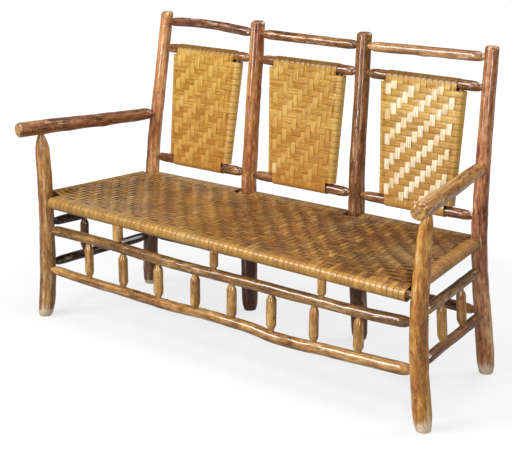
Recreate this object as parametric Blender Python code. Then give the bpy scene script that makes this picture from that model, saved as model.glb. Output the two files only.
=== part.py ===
"""A rustic three-seat settee of peeled saplings with a woven bark seat and three woven back panels.

Six posts stand on the floor. Rails, stretchers and arms are saplings whittled to round tenons at
their ends, which sit in mortises bored in the posts. Spindles stand in mortises of the stretchers.
The seat and the back panels are double sheets of woven bark strips, rolled round their own rails.
Metres, +Z up, the front faces -Y, +X is on the right of someone who looks at the front.
"""

from collections import defaultdict, namedtuple
from math import cos, log, pi, radians, sin, sqrt

import bmesh
import bpy
from mathutils import Matrix, Vector

# Fits
CLEARANCE = 0.0003
MOUTH_GAP = 0.002

# Stance of the front posts: distance between their axes, bow towards each other with the share of the
# height where each bows most, lean to the back
FRONT_FOOT_SPREAD = 1.574
FRONT_ARM_SPREAD = 1.548
FRONT_LEFT_BOW = 0.021
FRONT_LEFT_BOW_AT = 0.40
FRONT_RIGHT_BOW = 0.024
FRONT_RIGHT_BOW_AT = 0.50
FRONT_POST_RAKE = 0.010

# Stance of the rear posts, measured from the front feet: at the floor, at the bend and at the top
REAR_DEPTH_FLOOR = 0.492
REAR_DEPTH_BEND = 0.468
REAR_DEPTH_TOP = 0.531
OUTER_SPREAD_FLOOR = 1.448
OUTER_SPREAD_BEND = 1.365
OUTER_SPREAD_TOP = 1.310
OUTER_TOP_LEAN = 0.015
INNER_SPREAD_FLOOR = 0.477
INNER_SPREAD_BEND = 0.450
INNER_SPREAD_TOP = 0.436
INNER_TOP_LEAN = -0.009
BEND_RUN = 0.190

# Thickness of the posts
FOOT_DIA = 0.045
FOOT_TAPER = 0.070
FRONT_LEFT_DIA = 0.061
FRONT_RIGHT_DIA = 0.0585
FRONT_WAIST_DIA = 0.055
FRONT_LEFT_HEAD_DIA = 0.053
FRONT_RIGHT_HEAD_DIA = 0.045
FRONT_POST_TENON_DIA = 0.023
FRONT_POST_TENON = 0.021
BULLET_LENGTH = 0.068
OUTER_POST_DIA = 0.058
OUTER_TOP_DIA = 0.047
INNER_POST_DIA = 0.0595
INNER_TOP_DIA = 0.0515
TOP_ROUND = 0.008

# Arms
ARM_OVERHANG = 0.090
ARM_FRONT_DIA = 0.052
ARM_REAR_DIA = 0.045
ARM_TENON_DIA = 0.025
ARM_END_CHAMFER = 0.006

# Heights above the floor of the rear posts' tops and of the rear seat rail
POST_HEIGHT = 1.040
SEAT_HEIGHT = 0.435

# The back: the crest rails below the tops of the outer and the inner posts, the panels' top rails below
# those, and the bottom rails above the seat
CREST_DROP = 0.034
CREST_INNER_DROP = 0.042
PANEL_TOP_DROP = 0.093
PANEL_BOTTOM_RISE = 0.078
CREST_HEIGHT = POST_HEIGHT - CREST_DROP
CREST_INNER_HEIGHT = POST_HEIGHT - CREST_INNER_DROP
PANEL_TOP_HEIGHT = CREST_HEIGHT - PANEL_TOP_DROP
PANEL_BOTTOM_HEIGHT = SEAT_HEIGHT + PANEL_BOTTOM_RISE

# Above the seat: where the rear posts bend, where the front posts start to taper, and the arms
BEND_RISE = 0.035
FRONT_TAPER_RISE = 0.015
ARM_LEFT_RISE = 0.253
ARM_RIGHT_RISE = 0.241
ARM_REAR_RISE = 0.237
BEND_HEIGHT = SEAT_HEIGHT + BEND_RISE
FRONT_TAPER_FROM = SEAT_HEIGHT + FRONT_TAPER_RISE
ARM_LEFT_HEIGHT = SEAT_HEIGHT + ARM_LEFT_RISE
ARM_RIGHT_HEIGHT = SEAT_HEIGHT + ARM_RIGHT_RISE
ARM_REAR_HEIGHT = SEAT_HEIGHT + ARM_REAR_RISE

# The other seat rails, from the rear one: the side rails lie a little higher, the front one lower
SEAT_SIDE_FRONT_RISE = 0.008
SEAT_SIDE_REAR_RISE = 0.005
SEAT_FRONT_LEFT_DROP = 0.008
SEAT_FRONT_RIGHT_DROP = 0.034
SEAT_SIDE_FRONT_HEIGHT = SEAT_HEIGHT + SEAT_SIDE_FRONT_RISE
SEAT_SIDE_REAR_HEIGHT = SEAT_HEIGHT + SEAT_SIDE_REAR_RISE
SEAT_FRONT_LEFT_HEIGHT = SEAT_HEIGHT - SEAT_FRONT_LEFT_DROP
SEAT_FRONT_RIGHT_HEIGHT = SEAT_HEIGHT - SEAT_FRONT_RIGHT_DROP

# The stretchers below the seat: an upper row, and a lower row at a drop below the upper one
FRONT_UPPER_DROP = 0.115
FRONT_LOWER_DROP = 0.146
SIDE_UPPER_DROP = 0.088
SIDE_LOWER_DROP = 0.149
REAR_STRETCHER_DROP = 0.229
FRONT_UPPER_HEIGHT = SEAT_HEIGHT - FRONT_UPPER_DROP
FRONT_LOWER_HEIGHT = FRONT_UPPER_HEIGHT - FRONT_LOWER_DROP
SIDE_UPPER_HEIGHT = SEAT_HEIGHT - SIDE_UPPER_DROP
SIDE_LOWER_HEIGHT = SIDE_UPPER_HEIGHT - SIDE_LOWER_DROP
REAR_STRETCHER_HEIGHT = SEAT_HEIGHT - REAR_STRETCHER_DROP

# Thickness of the rails and stretchers
CREST_DIA = 0.0325
PANEL_RAIL_DIA = 0.034
PANEL_ROD_DIA = 0.034
SEAT_RAIL_DIA = 0.031
FRONT_UPPER_DIA = 0.0365
FRONT_LOWER_LEFT_DIA = 0.032
FRONT_LOWER_RIGHT_DIA = 0.040
SIDE_STRETCHER_DIA = 0.0325
REAR_STRETCHER_DIA = 0.034

# Natural bow of single saplings, upwards, and the share of the length where the lower one dips most
CREST_LEFT_BOW = 0.008
FRONT_UPPER_BOW = 0.007
FRONT_LOWER_BOW = -0.012
FRONT_LOWER_BOW_AT = 0.68

# Tenons of the rails, in the posts
RAIL_TENON_DIA = 0.022
RAIL_TENON = 0.014
RAIL_TAPER = 0.028

# Spindles and their tenons, in the stretchers and rails. Some stand aside from even steps or are of
# another thickness, by their number from the left
LONG_SPINDLE_COUNT = 8
LONG_SPINDLE_PITCH = 0.159
LONG_SPINDLE_DIAS = {1: 0.032, 7: 0.031}
LONG_SPINDLE_DIA = 0.0335
LONG_SPINDLE_SHIFTS = {5: -0.008, 6: -0.009, 7: -0.006, 8: -0.003}
SHORT_SPINDLE_COUNT = 3
SHORT_SPINDLE_PITCH = 0.418
SHORT_SPINDLE_DIAS = {1: 0.036}
SHORT_SPINDLE_DIA = 0.029
SIDE_SPINDLE_COUNT = 2
SIDE_SPINDLE_DIA = 0.0315
SPINDLE_TENON_DIA = 0.017
SPINDLE_TENON = 0.009
SPINDLE_TAPER = 0.018

# Woven sheets: thickness of the bark, and where each sheet stops short of posts and corners
WEAVE_THICKNESS = 0.003
SEAT_FRONT_LEFT_GAP = 0.034
SEAT_FRONT_RIGHT_GAP = 0.064
SEAT_SIDE_FRONT_GAP = 0.046
SEAT_SIDE_REAR_GAP = 0.038
SEAT_REAR_GAP = 0.036
PANEL_TOP_WIDTH = 0.315
PANEL_BOTTOM_WIDTH = 0.277
PANEL_CORNER_ACROSS = 0.007
PANEL_CORNER_ALONG = 0.025

# Shares along a rounded or whittled end, and of the swell or radius that it has there
FOOT_SHARES = (0, 0.3, 0.65, 1)
BULLET_SHARES = (0.35, 0.65, 0.85)
BULLET_FULLNESS = 2.2
POST_TOP_STEPS = ((1, 1), (0.3, 0.92), (0, 0.76))
TAPER_KNEE = 0.35
TAPER_KNEE_SWELL = 0.76
ROUND_OVER = 1 - cos(pi / 4)

# Finishes: linear colours, and how rough varnish and bark are
FRONT_POST_COLOUR = (0.26, 0.125, 0.040)
REAR_POST_COLOUR = (0.17, 0.060, 0.022)
STRETCHER_COLOUR = (0.22, 0.105, 0.036)
REAR_STRETCHER_COLOUR = (0.10, 0.045, 0.022)
BACK_RAIL_COLOUR = (0.20, 0.080, 0.030)
SEAT_RAIL_COLOUR = (0.20, 0.090, 0.034)
SPINDLE_COLOUR = (0.30, 0.150, 0.050)
PANEL_COLOUR = (0.55, 0.30, 0.07)
SEAT_COLOUR = (0.30, 0.15, 0.045)
VARNISH_ROUGHNESS = 0.35
BARK_ROUGHNESS = 0.45

# Facets
POST_SIDES = 12
RAIL_SIDES = 10
SPINDLE_SIDES = 8
ROLL_STEPS = 6
POST_SHARES = (0.2, 0.4, 0.6, 0.75, 1)
BEND_SHARES = (-1, -0.5, 0, 0.5, 1)
BOWED_SHARES = (0.2, 0.4, 0.6, 0.8)
STRAIGHT_SHARES = (0.5,)
SHARP_ANGLE = radians(40)

UP = Vector((0, 0, 1))
Seat = namedtuple("Seat", "carrier point radius")
Pole = namedtuple("Pole", "name start end bow bow_at straight radius_start radius_end")
mortises = defaultdict(list)
pieces = {}


def finish(name, colour, roughness):
    """A varnished wood or bark surface."""
    material = bpy.data.materials.new(name)
    material.use_nodes = True
    shader = material.node_tree.nodes["Principled BSDF"]
    shader.inputs["Base Color"].default_value = (*colour, 1)
    shader.inputs["Roughness"].default_value = roughness
    shader.inputs["Metallic"].default_value = 0
    return material


def add_piece(name, bm, colour, roughness=VARNISH_ROUGHNESS):
    """One piece of the settee as its own object with its own finish."""
    mesh = bpy.data.meshes.new(name)
    bm.to_mesh(mesh)
    bm.free()
    mesh.shade_smooth()
    mesh.set_sharp_from_angle(angle=SHARP_ANGLE)
    piece = bpy.data.objects.new(name, mesh)
    bpy.context.scene.collection.objects.link(piece)
    mesh.materials.append(finish(name + "_finish", colour, roughness))
    pieces[name] = piece
    return piece


def add_rings(bm, stations, sides):
    """A closed round body through stations of (centre, radius), its rings square to Z."""
    rings = []
    for centre, radius in stations:
        circle = bmesh.ops.create_circle(
            bm, segments=sides, radius=radius, matrix=Matrix.Translation(centre)
        )
        rings.append(circle["verts"])
    for ring, following in zip(rings, rings[1:]):
        for k in range(sides):
            after = (k + 1) % sides
            bm.faces.new((ring[k], ring[after], following[after], following[k]))
    bm.faces.new(rings[0])
    bm.faces.new(rings[-1])
    bmesh.ops.recalc_face_normals(bm, faces=bm.faces)


def turn_to(direction):
    """The turn that lays a body modelled along Z along this direction."""
    return direction.to_track_quat("Z", "Y").to_matrix().to_4x4()


def bore(carrier, tip, turn, reach, diameter, sides):
    """Notes a mortise: from just past a tenon's tip, along the turned Z, out of the carrier."""
    mortises[carrier].append((tip, turn, reach, diameter / 2 + CLEARANCE, sides))


def between(low, high, share):
    return low + (high - low) * share


# Posts


def bent(floor, bend, top, z):
    """A value that runs straight from floor to bend and on to the top, with a round bend."""
    lower = (bend - floor) / BEND_HEIGHT
    upper = (top - bend) / (POST_HEIGHT - BEND_HEIGHT)
    past = z - BEND_HEIGHT
    if past <= -BEND_RUN:
        return bend + lower * past
    if past >= BEND_RUN:
        return bend + upper * past
    ease = (past + BEND_RUN) ** 2 / (4 * BEND_RUN)
    return bend + lower * past + (upper - lower) * ease


def bowed(share, most_at):
    """How far a bowed line stands off its chord: 0 at both ends and 1 at the share where it is most."""
    inner = min(max(share, 0), 1) ** (log(0.5) / log(most_at))
    return 4 * inner * (1 - inner)


def front_axis(side, z):
    arm = ARM_LEFT_HEIGHT if side < 0 else ARM_RIGHT_HEIGHT
    share = z / arm
    half = between(FRONT_FOOT_SPREAD, FRONT_ARM_SPREAD, share) / 2
    bows = {-1: (FRONT_LEFT_BOW, FRONT_LEFT_BOW_AT), 1: (FRONT_RIGHT_BOW, FRONT_RIGHT_BOW_AT)}
    most, most_at = bows[side]
    bow = most * bowed(share, most_at)
    return Vector((side * (half - bow), FRONT_POST_RAKE * share, z))


def rear_axis(side, inner, z):
    spreads = (OUTER_SPREAD_FLOOR, OUTER_SPREAD_BEND, OUTER_SPREAD_TOP)
    lean = OUTER_TOP_LEAN
    if inner:
        spreads = (INNER_SPREAD_FLOOR, INNER_SPREAD_BEND, INNER_SPREAD_TOP)
        lean = INNER_TOP_LEAN
    x = side * bent(*spreads, z) / 2 + bent(0, 0, lean, z)
    return Vector((x, bent(REAR_DEPTH_FLOOR, REAR_DEPTH_BEND, REAR_DEPTH_TOP, z), z))


def front_radius(side, z):
    dias = {-1: (FRONT_LEFT_DIA, FRONT_LEFT_HEAD_DIA), 1: (FRONT_RIGHT_DIA, FRONT_RIGHT_HEAD_DIA)}
    foot, head = dias[side]
    if z < FRONT_TAPER_FROM:
        return between(foot, FRONT_WAIST_DIA, z / FRONT_TAPER_FROM) / 2
    arm = ARM_LEFT_HEIGHT if side < 0 else ARM_RIGHT_HEIGHT
    share = (z - FRONT_TAPER_FROM) / (arm - BULLET_LENGTH - FRONT_TAPER_FROM)
    return between(FRONT_WAIST_DIA, head, share) / 2


def rear_radius(inner, z):
    thick, thin = (INNER_POST_DIA, INNER_TOP_DIA) if inner else (OUTER_POST_DIA, OUTER_TOP_DIA)
    return between(thick, thin, z / POST_HEIGHT) / 2


def foot_stations(axis, radius):
    """The foot of a post, rounded in from its full radius towards the floor."""
    for share in FOOT_SHARES:
        swell = sqrt(1 - (1 - share) ** 2)
        yield axis(FOOT_TAPER * share), between(FOOT_DIA / 2, radius, swell)


def front_post(name, side, arm_height, arm_radius):
    """A front post: a bowed sapling whose head tapers like a bullet to a tenon in the arm."""
    def axis(z):
        return front_axis(side, z)

    head = arm_height - arm_radius - MOUTH_GAP
    shoulder = head - BULLET_LENGTH
    stations = list(foot_stations(axis, front_radius(side, FOOT_TAPER)))
    for share in POST_SHARES:
        z = between(FOOT_TAPER, shoulder, share)
        stations.append((axis(z), front_radius(side, z)))
    tenon = FRONT_POST_TENON_DIA / 2
    for share in BULLET_SHARES:
        radius = between(front_radius(side, shoulder), tenon, share**BULLET_FULLNESS)
        stations.append((axis(between(shoulder, head, share)), radius))
    joint = axis(arm_height)
    stations.append((Vector((joint.x, joint.y, head)), tenon))
    tip = Vector((joint.x, joint.y, arm_height - arm_radius + FRONT_POST_TENON))
    stations.append((tip, tenon))
    bm = bmesh.new()
    add_rings(bm, stations, POST_SIDES)
    add_piece(name, bm, FRONT_POST_COLOUR)
    arm = "arm" + name.removeprefix("front_post")
    reach = -(FRONT_POST_TENON + arm_radius)
    bore(arm, tip, Matrix(), reach, FRONT_POST_TENON_DIA, POST_SIDES)


def rear_post(name, side, inner):
    """A rear post: a sapling steamed to a bend at the seat, leaning back above it."""
    def axis(z):
        return rear_axis(side, inner, z)

    def radius(z):
        return rear_radius(inner, z)

    stations = list(foot_stations(axis, radius(FOOT_TAPER)))
    for share in BEND_SHARES:
        z = BEND_HEIGHT + BEND_RUN * share
        stations.append((axis(z), radius(z)))
    for below, width in POST_TOP_STEPS:
        z = POST_HEIGHT - TOP_ROUND * below
        stations.append((axis(z), radius(z) * width))
    bm = bmesh.new()
    add_rings(bm, stations, POST_SIDES)
    add_piece(name, bm, REAR_POST_COLOUR)


def at_front(side, z):
    name = "front_post_left" if side < 0 else "front_post_right"
    return Seat(name, front_axis(side, z), front_radius(side, z))


def at_rear(side, inner, z):
    name = "rear_post_" + ("inner_" if inner else "") + ("left" if side < 0 else "right")
    return Seat(name, rear_axis(side, inner, z), rear_radius(inner, z))


# Saplings with tenons


def axis_point(pole, share):
    """A point of the pole's axis, which is bowed between its straight tenons."""
    inner = (share - pole.straight) / (1 - 2 * pole.straight)
    return pole.start.lerp(pole.end, share) + pole.bow * bowed(inner, pole.bow_at)


def on_pole(pole, share):
    """A place on a pole where a spindle stands."""
    radius = between(pole.radius_start, pole.radius_end, share)
    return Seat(pole.name, axis_point(pole, share), radius)


def on_pole_at_x(pole, x):
    return on_pole(pole, (x - pole.start.x) / (pole.end.x - pole.start.x))


def tapered_end(tip, mouth, taper, tenon, body):
    """Distances and radii from a tenon's tip, over its whittled shoulder, to the full body."""
    yield tip, tenon
    yield mouth, tenon
    yield mouth + taper * TAPER_KNEE, between(tenon, body, TAPER_KNEE_SWELL)
    yield mouth + taper, body


def plain_end(at, chamfer, body):
    """Distances and radii of a sawn end with its edge rounded over."""
    yield at, body - chamfer
    yield at + chamfer * ROUND_OVER, body - chamfer * ROUND_OVER
    yield at + chamfer, body


def sapling(name, start, end, dias, tenon_dia, tenon, taper, colour, **options):
    """A pole from one seat to another, with a tenon at each end that lies in a mortise.

    The options are sides, bow (upwards), bow_at (the share of the length where it bows most) and
    overhang, with which the pole runs on past its start over a post's head to a sawn end.
    """
    sides = options.get("sides", RAIL_SIDES)
    overhang = options.get("overhang", 0)
    direction = (end.point - start.point).normalized()
    depth_start = start.radius - tenon
    tip_start = start.point + direction * (-overhang if overhang else depth_start)
    tip_end = end.point - direction * (end.radius - tenon)
    length = (tip_end - tip_start).length
    bow = Vector((0, 0, options.get("bow", 0)))
    mouth = tenon + MOUTH_GAP
    shape = (bow, options.get("bow_at", 0.5), mouth / length)
    pole = Pole(name, tip_start, tip_end, *shape, dias[0] / 2, dias[1] / 2)
    if overhang:
        profile = list(plain_end(0, ARM_END_CHAMFER, pole.radius_start))
    else:
        profile = list(tapered_end(0, mouth, taper, tenon_dia / 2, pole.radius_start))
    far = [(length - at, r) for at, r in tapered_end(0, mouth, taper, tenon_dia / 2, pole.radius_end)]
    near_body, far_body = profile[-1][0], far[-1][0]
    for share in BOWED_SHARES if bow.z else STRAIGHT_SHARES:
        at = between(near_body, far_body, share)
        profile.append((at, between(pole.radius_start, pole.radius_end, at / length)))
    profile += reversed(far)

    turn = turn_to(direction)
    place = Matrix.Translation(tip_start) @ turn
    lay_down = place.inverted()
    stations = [(lay_down @ axis_point(pole, at / length), radius) for at, radius in profile]
    bm = bmesh.new()
    add_rings(bm, stations, sides)
    piece = add_piece(name, bm, colour)
    piece.matrix_world = place
    if not overhang:
        bore(start.carrier, tip_start, turn, tenon + start.radius, tenon_dia, sides)
    bore(end.carrier, tip_end, turn, -tenon - end.radius, tenon_dia, sides)
    return pole


def rail(name, start, end, dia, colour, **options):
    dias = dia if isinstance(dia, tuple) else (dia, dia)
    return sapling(name, start, end, dias, RAIL_TENON_DIA, RAIL_TENON, RAIL_TAPER, colour, **options)


def spindle(name, start, end, dia):
    sizes = (SPINDLE_TENON_DIA, SPINDLE_TENON, SPINDLE_TAPER)
    return sapling(name, start, end, (dia, dia), *sizes, SPINDLE_COLOUR, sides=SPINDLE_SIDES)


def cut_mortises():
    """Bores every noted mortise in the piece that carries it."""
    for carrier, holes in mortises.items():
        bm = bmesh.new()
        for tip, turn, reach, radius, sides in holes:
            past = CLEARANCE if reach < 0 else -CLEARANCE
            for at in (past, reach):
                place = Matrix.Translation(tip) @ turn @ Matrix.Translation((0, 0, at))
                bmesh.ops.create_circle(bm, segments=sides, radius=radius, matrix=place)
            ends = bm.verts[:][-2 * sides:]
            near, far = ends[:sides], ends[sides:]
            for k in range(sides):
                after = (k + 1) % sides
                bm.faces.new((near[k], near[after], far[after], far[k]))
            bm.faces.new(near)
            bm.faces.new(far)
        bmesh.ops.recalc_face_normals(bm, faces=bm.faces)
        mesh = bpy.data.meshes.new(carrier + "_mortises")
        bm.to_mesh(mesh)
        bm.free()
        cutter = bpy.data.objects.new(mesh.name, mesh)
        bpy.context.scene.collection.objects.link(cutter)
        cutter.hide_render = True
        cutter.display_type = "WIRE"
        cut = pieces[carrier].modifiers.new("mortises", "BOOLEAN")
        cut.object = cutter
        cut.operation = "DIFFERENCE"
        cut.solver = "EXACT"
        pieces[cutter.name] = cutter


# Woven sheets


def roll_radius(dia):
    """Radius at which the bark rolls round a rail, so that its flats clear the rail."""
    return (dia / 2 + CLEARANCE) / cos(pi / (2 * ROLL_STEPS))


class Sleeve:
    """A double woven sheet between a near and a far rail and two sides, rolled round all four.

    Columns are pairs of axis points on the near and the far rail. The first and the last column
    lie on the side rails instead. The corners stay open, where the rails run out to their posts.
    """

    def __init__(self, up):
        self.bm = bmesh.new()
        self.up = up
        self.sheet = {}

    def point(self, column, row, axis, radius, up=None):
        """Marks an axis point, with a vertex of the sheet on either side of it."""
        up = up or self.up
        over = self.bm.verts.new(axis + up * radius)
        under = self.bm.verts.new(axis - up * radius)
        self.sheet[column, row] = (axis, radius, over, under)

    def cell(self, column, row):
        corners = [(column, row), (column + 1, row), (column + 1, row + 1), (column, row + 1)]
        for layer, order in ((2, corners), (3, reversed(corners))):
            self.bm.faces.new([self.sheet[corner][layer] for corner in order])

    def roll(self, first, second, out):
        """Bark rolled from the upper sheet to the lower, between two marked axis points."""
        arcs = []
        for key in (first, second):
            axis, radius, over, under = self.sheet[key]
            known = self.sheet.get((key, "arc"))
            if known is None:
                up = (over.co - axis) / radius
                square = (out - up * out.dot(up)).normalized()
                inner = []
                for step in range(1, ROLL_STEPS):
                    angle = pi / 2 - pi * step / ROLL_STEPS
                    place = axis + (square * cos(angle) + up * sin(angle)) * radius
                    inner.append(self.bm.verts.new(place))
                known = [over, *inner, under]
                self.sheet[key, "arc"] = known
            arcs.append(known)
        for (a, b), (c, d) in zip(zip(arcs[0], arcs[1]), zip(arcs[0][1:], arcs[1][1:])):
            self.bm.faces.new((a, b, d, c))

    def make(self, name, colour):
        bmesh.ops.recalc_face_normals(self.bm, faces=self.bm.faces)
        self.bm.faces.ensure_lookup_table()
        if self.bm.faces[0].normal.dot(self.up) < 0:
            bmesh.ops.reverse_faces(self.bm, faces=self.bm.faces)
        piece = add_piece(name, self.bm, colour, BARK_ROUGHNESS)
        bark = piece.modifiers.new("bark", "SOLIDIFY")
        bark.thickness = WEAVE_THICKNESS
        bark.offset = 1
        bark.use_even_offset = True
        return piece


def weave_sheet(name, columns, rows, sides, radii, up, colour, posts=()):
    """Builds a sleeve. Posts lists the columns whose last cell is left open round a post."""
    near_radius, side_radius, far_radius = radii
    sleeve = Sleeve(up)
    last = len(columns) + 1
    for k, (near, far) in enumerate(columns, 1):
        for row, share in enumerate((0, *rows, 1)):
            sleeve.point(k, row, near.lerp(far, share), between(near_radius, far_radius, share))
    for column, beside, ends in ((0, columns[0], sides[0]), (last, columns[-1], sides[-1])):
        run = ends[1] - ends[0]
        square = Vector()
        for share, end in zip(rows, ends):
            square += run.cross(end - beside[0].lerp(beside[1], share)).normalized()
        square.normalize()
        if square.dot(up) < 0:
            square.negate()
        for row, end in zip((1, 2), ends):
            sleeve.point(column, row, end, side_radius, square)
    for k in range(1, last - 1):
        sleeve.cell(k, 0)
        if k not in posts:
            sleeve.cell(k, 2)
    for k in range(last):
        sleeve.cell(k, 1)
    along = (columns[0][1] - columns[0][0]).normalized()
    for k in range(1, last - 1):
        out = up.cross(columns[k][0] - columns[k - 1][0]).normalized()
        sleeve.roll((k, 0), (k + 1, 0), -out if out.dot(along) > 0 else out)
        if k not in posts:
            out = up.cross(columns[k][1] - columns[k - 1][1]).normalized()
            sleeve.roll((k, 3), (k + 1, 3), out if out.dot(along) > 0 else -out)
    across = (columns[-1][0] - columns[0][0]).normalized()
    for column, way, (front, back) in zip((0, last), (-1, 1), sides):
        out = up.cross(back - front).normalized()
        sleeve.roll((column, 1), (column, 2), out if out.dot(across) * way > 0 else -out)
    return sleeve.make(name, colour)


# The settee, from the posts inwards


def build_posts_and_arms():
    for side, hand, height in ((-1, "left", ARM_LEFT_HEIGHT), (1, "right", ARM_RIGHT_HEIGHT)):
        rear_post("rear_post_" + hand, side, False)
        rear_post("rear_post_inner_" + hand, side, True)
        dias = (ARM_FRONT_DIA, ARM_REAR_DIA)
        start = at_front(side, height)
        end = at_rear(side, False, ARM_REAR_HEIGHT)
        sizes = (ARM_TENON_DIA, RAIL_TENON, RAIL_TAPER)
        shape = {"sides": POST_SIDES, "overhang": ARM_OVERHANG}
        arm = sapling("arm_" + hand, start, end, dias, *sizes, STRETCHER_COLOUR, **shape)
        share = ARM_OVERHANG / (arm.end - arm.start).length
        front_post("front_post_" + hand, side, height, on_pole(arm, share).radius)


def rear_bays(outer, inner):
    """The three bays between the rear posts: name and the seats on the posts, at a height on each."""
    yield "left", at_rear(-1, False, outer), at_rear(-1, True, inner)
    yield "middle", at_rear(-1, True, inner), at_rear(1, True, inner)
    yield "right", at_rear(1, True, inner), at_rear(1, False, outer)


def build_back():
    """Crest rails, and in each bay a panel frame of two rails and two rods with its weave."""
    wood = BACK_RAIL_COLOUR
    for bay, start, end in rear_bays(CREST_HEIGHT, CREST_INNER_HEIGHT):
        bow = CREST_LEFT_BOW if bay == "left" else 0
        rail("crest_rail_" + bay, start, end, CREST_DIA, wood, bow=bow)
    low_bays = rear_bays(PANEL_BOTTOM_HEIGHT, PANEL_BOTTOM_HEIGHT)
    high_bays = rear_bays(PANEL_TOP_HEIGHT, PANEL_TOP_HEIGHT)
    for (bay, low_start, low_end), (_, high_start, high_end) in zip(low_bays, high_bays):
        low = rail("panel_bottom_rail_" + bay, low_start, low_end, PANEL_RAIL_DIA, wood)
        high = rail("panel_top_rail_" + bay, high_start, high_end, PANEL_RAIL_DIA, wood)
        low_middle = (low_start.point.x + low_end.point.x) / 2
        high_middle = (high_start.point.x + high_end.point.x) / 2
        rods = []
        rod_roll = roll_radius(PANEL_ROD_DIA) + WEAVE_THICKNESS
        for side, hand in ((-1, "left"), (1, "right")):
            foot = on_pole_at_x(low, low_middle + side * (PANEL_BOTTOM_WIDTH / 2 - rod_roll))
            head = on_pole_at_x(high, high_middle + side * (PANEL_TOP_WIDTH / 2 - rod_roll))
            rods.append(spindle(f"panel_{bay}_rod_{hand}", foot, head, PANEL_ROD_DIA))
        weave_panel("woven_panel_" + bay, low, high, rods)


def weave_panel(name, low, high, rods):
    columns = []
    sides = []
    for rod, way in zip(rods, (1, -1)):
        inset = way * PANEL_CORNER_ACROSS
        near = on_pole_at_x(low, rod.start.x + inset).point
        far = on_pole_at_x(high, rod.end.x + inset).point
        columns.append((near, far))
        corner = PANEL_CORNER_ALONG / (far - near).length
        rows = (corner, 1 - corner)
        along = (rod.end - rod.start).normalized()
        near_rod = rod.start + along * PANEL_CORNER_ALONG
        sides.append((near_rod, rod.end - along * PANEL_CORNER_ALONG))
    up = (columns[1][0] - columns[0][0]).cross(columns[0][1] - columns[0][0]).normalized()
    radii = (roll_radius(PANEL_RAIL_DIA), roll_radius(PANEL_ROD_DIA), roll_radius(PANEL_RAIL_DIA))
    weave_sheet(name, columns, rows, sides, radii, up, PANEL_COLOUR)


def build_base():
    """Stretchers between the legs, with the spindles that stand in them."""
    wood = STRETCHER_COLOUR
    heights = {"upper": FRONT_UPPER_HEIGHT, "lower": FRONT_LOWER_HEIGHT}
    dias = {"upper": FRONT_UPPER_DIA, "lower": (FRONT_LOWER_LEFT_DIA, FRONT_LOWER_RIGHT_DIA)}
    bows = {
        "upper": {"bow": FRONT_UPPER_BOW},
        "lower": {"bow": FRONT_LOWER_BOW, "bow_at": FRONT_LOWER_BOW_AT},
    }
    front = {}
    for row, height in heights.items():
        seats = at_front(-1, height), at_front(1, height)
        front[row] = rail("front_stretcher_" + row, *seats, dias[row], wood, **bows[row])
    for k in range(LONG_SPINDLE_COUNT):
        x = (k - (LONG_SPINDLE_COUNT - 1) / 2) * LONG_SPINDLE_PITCH + LONG_SPINDLE_SHIFTS.get(k + 1, 0)
        foot, head = on_pole_at_x(front["lower"], x), on_pole_at_x(front["upper"], x)
        spindle(f"front_spindle_{k + 1}", foot, head, LONG_SPINDLE_DIAS.get(k + 1, LONG_SPINDLE_DIA))

    for side, hand in ((-1, "left"), (1, "right")):
        sides = {}
        for row, height in (("upper", SIDE_UPPER_HEIGHT), ("lower", SIDE_LOWER_HEIGHT)):
            seats = at_front(side, height), at_rear(side, False, height)
            name = f"side_stretcher_{hand}_{row}"
            sides[row] = rail(name, *seats, SIDE_STRETCHER_DIA, wood)
        for k in range(SIDE_SPINDLE_COUNT):
            share = (k + 1) / (SIDE_SPINDLE_COUNT + 1)
            foot, head = on_pole(sides["lower"], share), on_pole(sides["upper"], share)
            spindle(f"side_spindle_{hand}_{k + 1}", foot, head, SIDE_SPINDLE_DIA)

    for bay, start, end in rear_bays(REAR_STRETCHER_HEIGHT, REAR_STRETCHER_HEIGHT):
        rail("rear_stretcher_" + bay, start, end, REAR_STRETCHER_DIA, REAR_STRETCHER_COLOUR)
    return front["upper"]


def build_seat(upper):
    """Seat rails, the short spindles under the front one, and the woven seat round the rails."""
    wood = SEAT_RAIL_COLOUR
    seats = at_front(-1, SEAT_FRONT_LEFT_HEIGHT), at_front(1, SEAT_FRONT_RIGHT_HEIGHT)
    front = rail("seat_rail_front", *seats, SEAT_RAIL_DIA, wood)
    sides = []
    for side, hand in ((-1, "left"), (1, "right")):
        seats = at_front(side, SEAT_SIDE_FRONT_HEIGHT), at_rear(side, False, SEAT_SIDE_REAR_HEIGHT)
        sides.append(rail("seat_rail_" + hand, *seats, SEAT_RAIL_DIA, wood))
    rear = []
    for bay, start, end in rear_bays(SEAT_HEIGHT, SEAT_HEIGHT):
        rear.append(rail("seat_rail_rear_" + bay, start, end, SEAT_RAIL_DIA, wood))
    for k in range(SHORT_SPINDLE_COUNT):
        x = (k - (SHORT_SPINDLE_COUNT - 1) / 2) * SHORT_SPINDLE_PITCH
        foot, head = on_pole_at_x(upper, x), on_pole_at_x(front, x)
        spindle(f"short_spindle_{k + 1}", foot, head, SHORT_SPINDLE_DIAS.get(k + 1, SHORT_SPINDLE_DIA))
        bore("woven_seat", head.point, Matrix(), -SEAT_RAIL_DIA, SHORT_SPINDLE_DIA, SPINDLE_SIDES)
    weave_seat(front, sides, rear)


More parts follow.
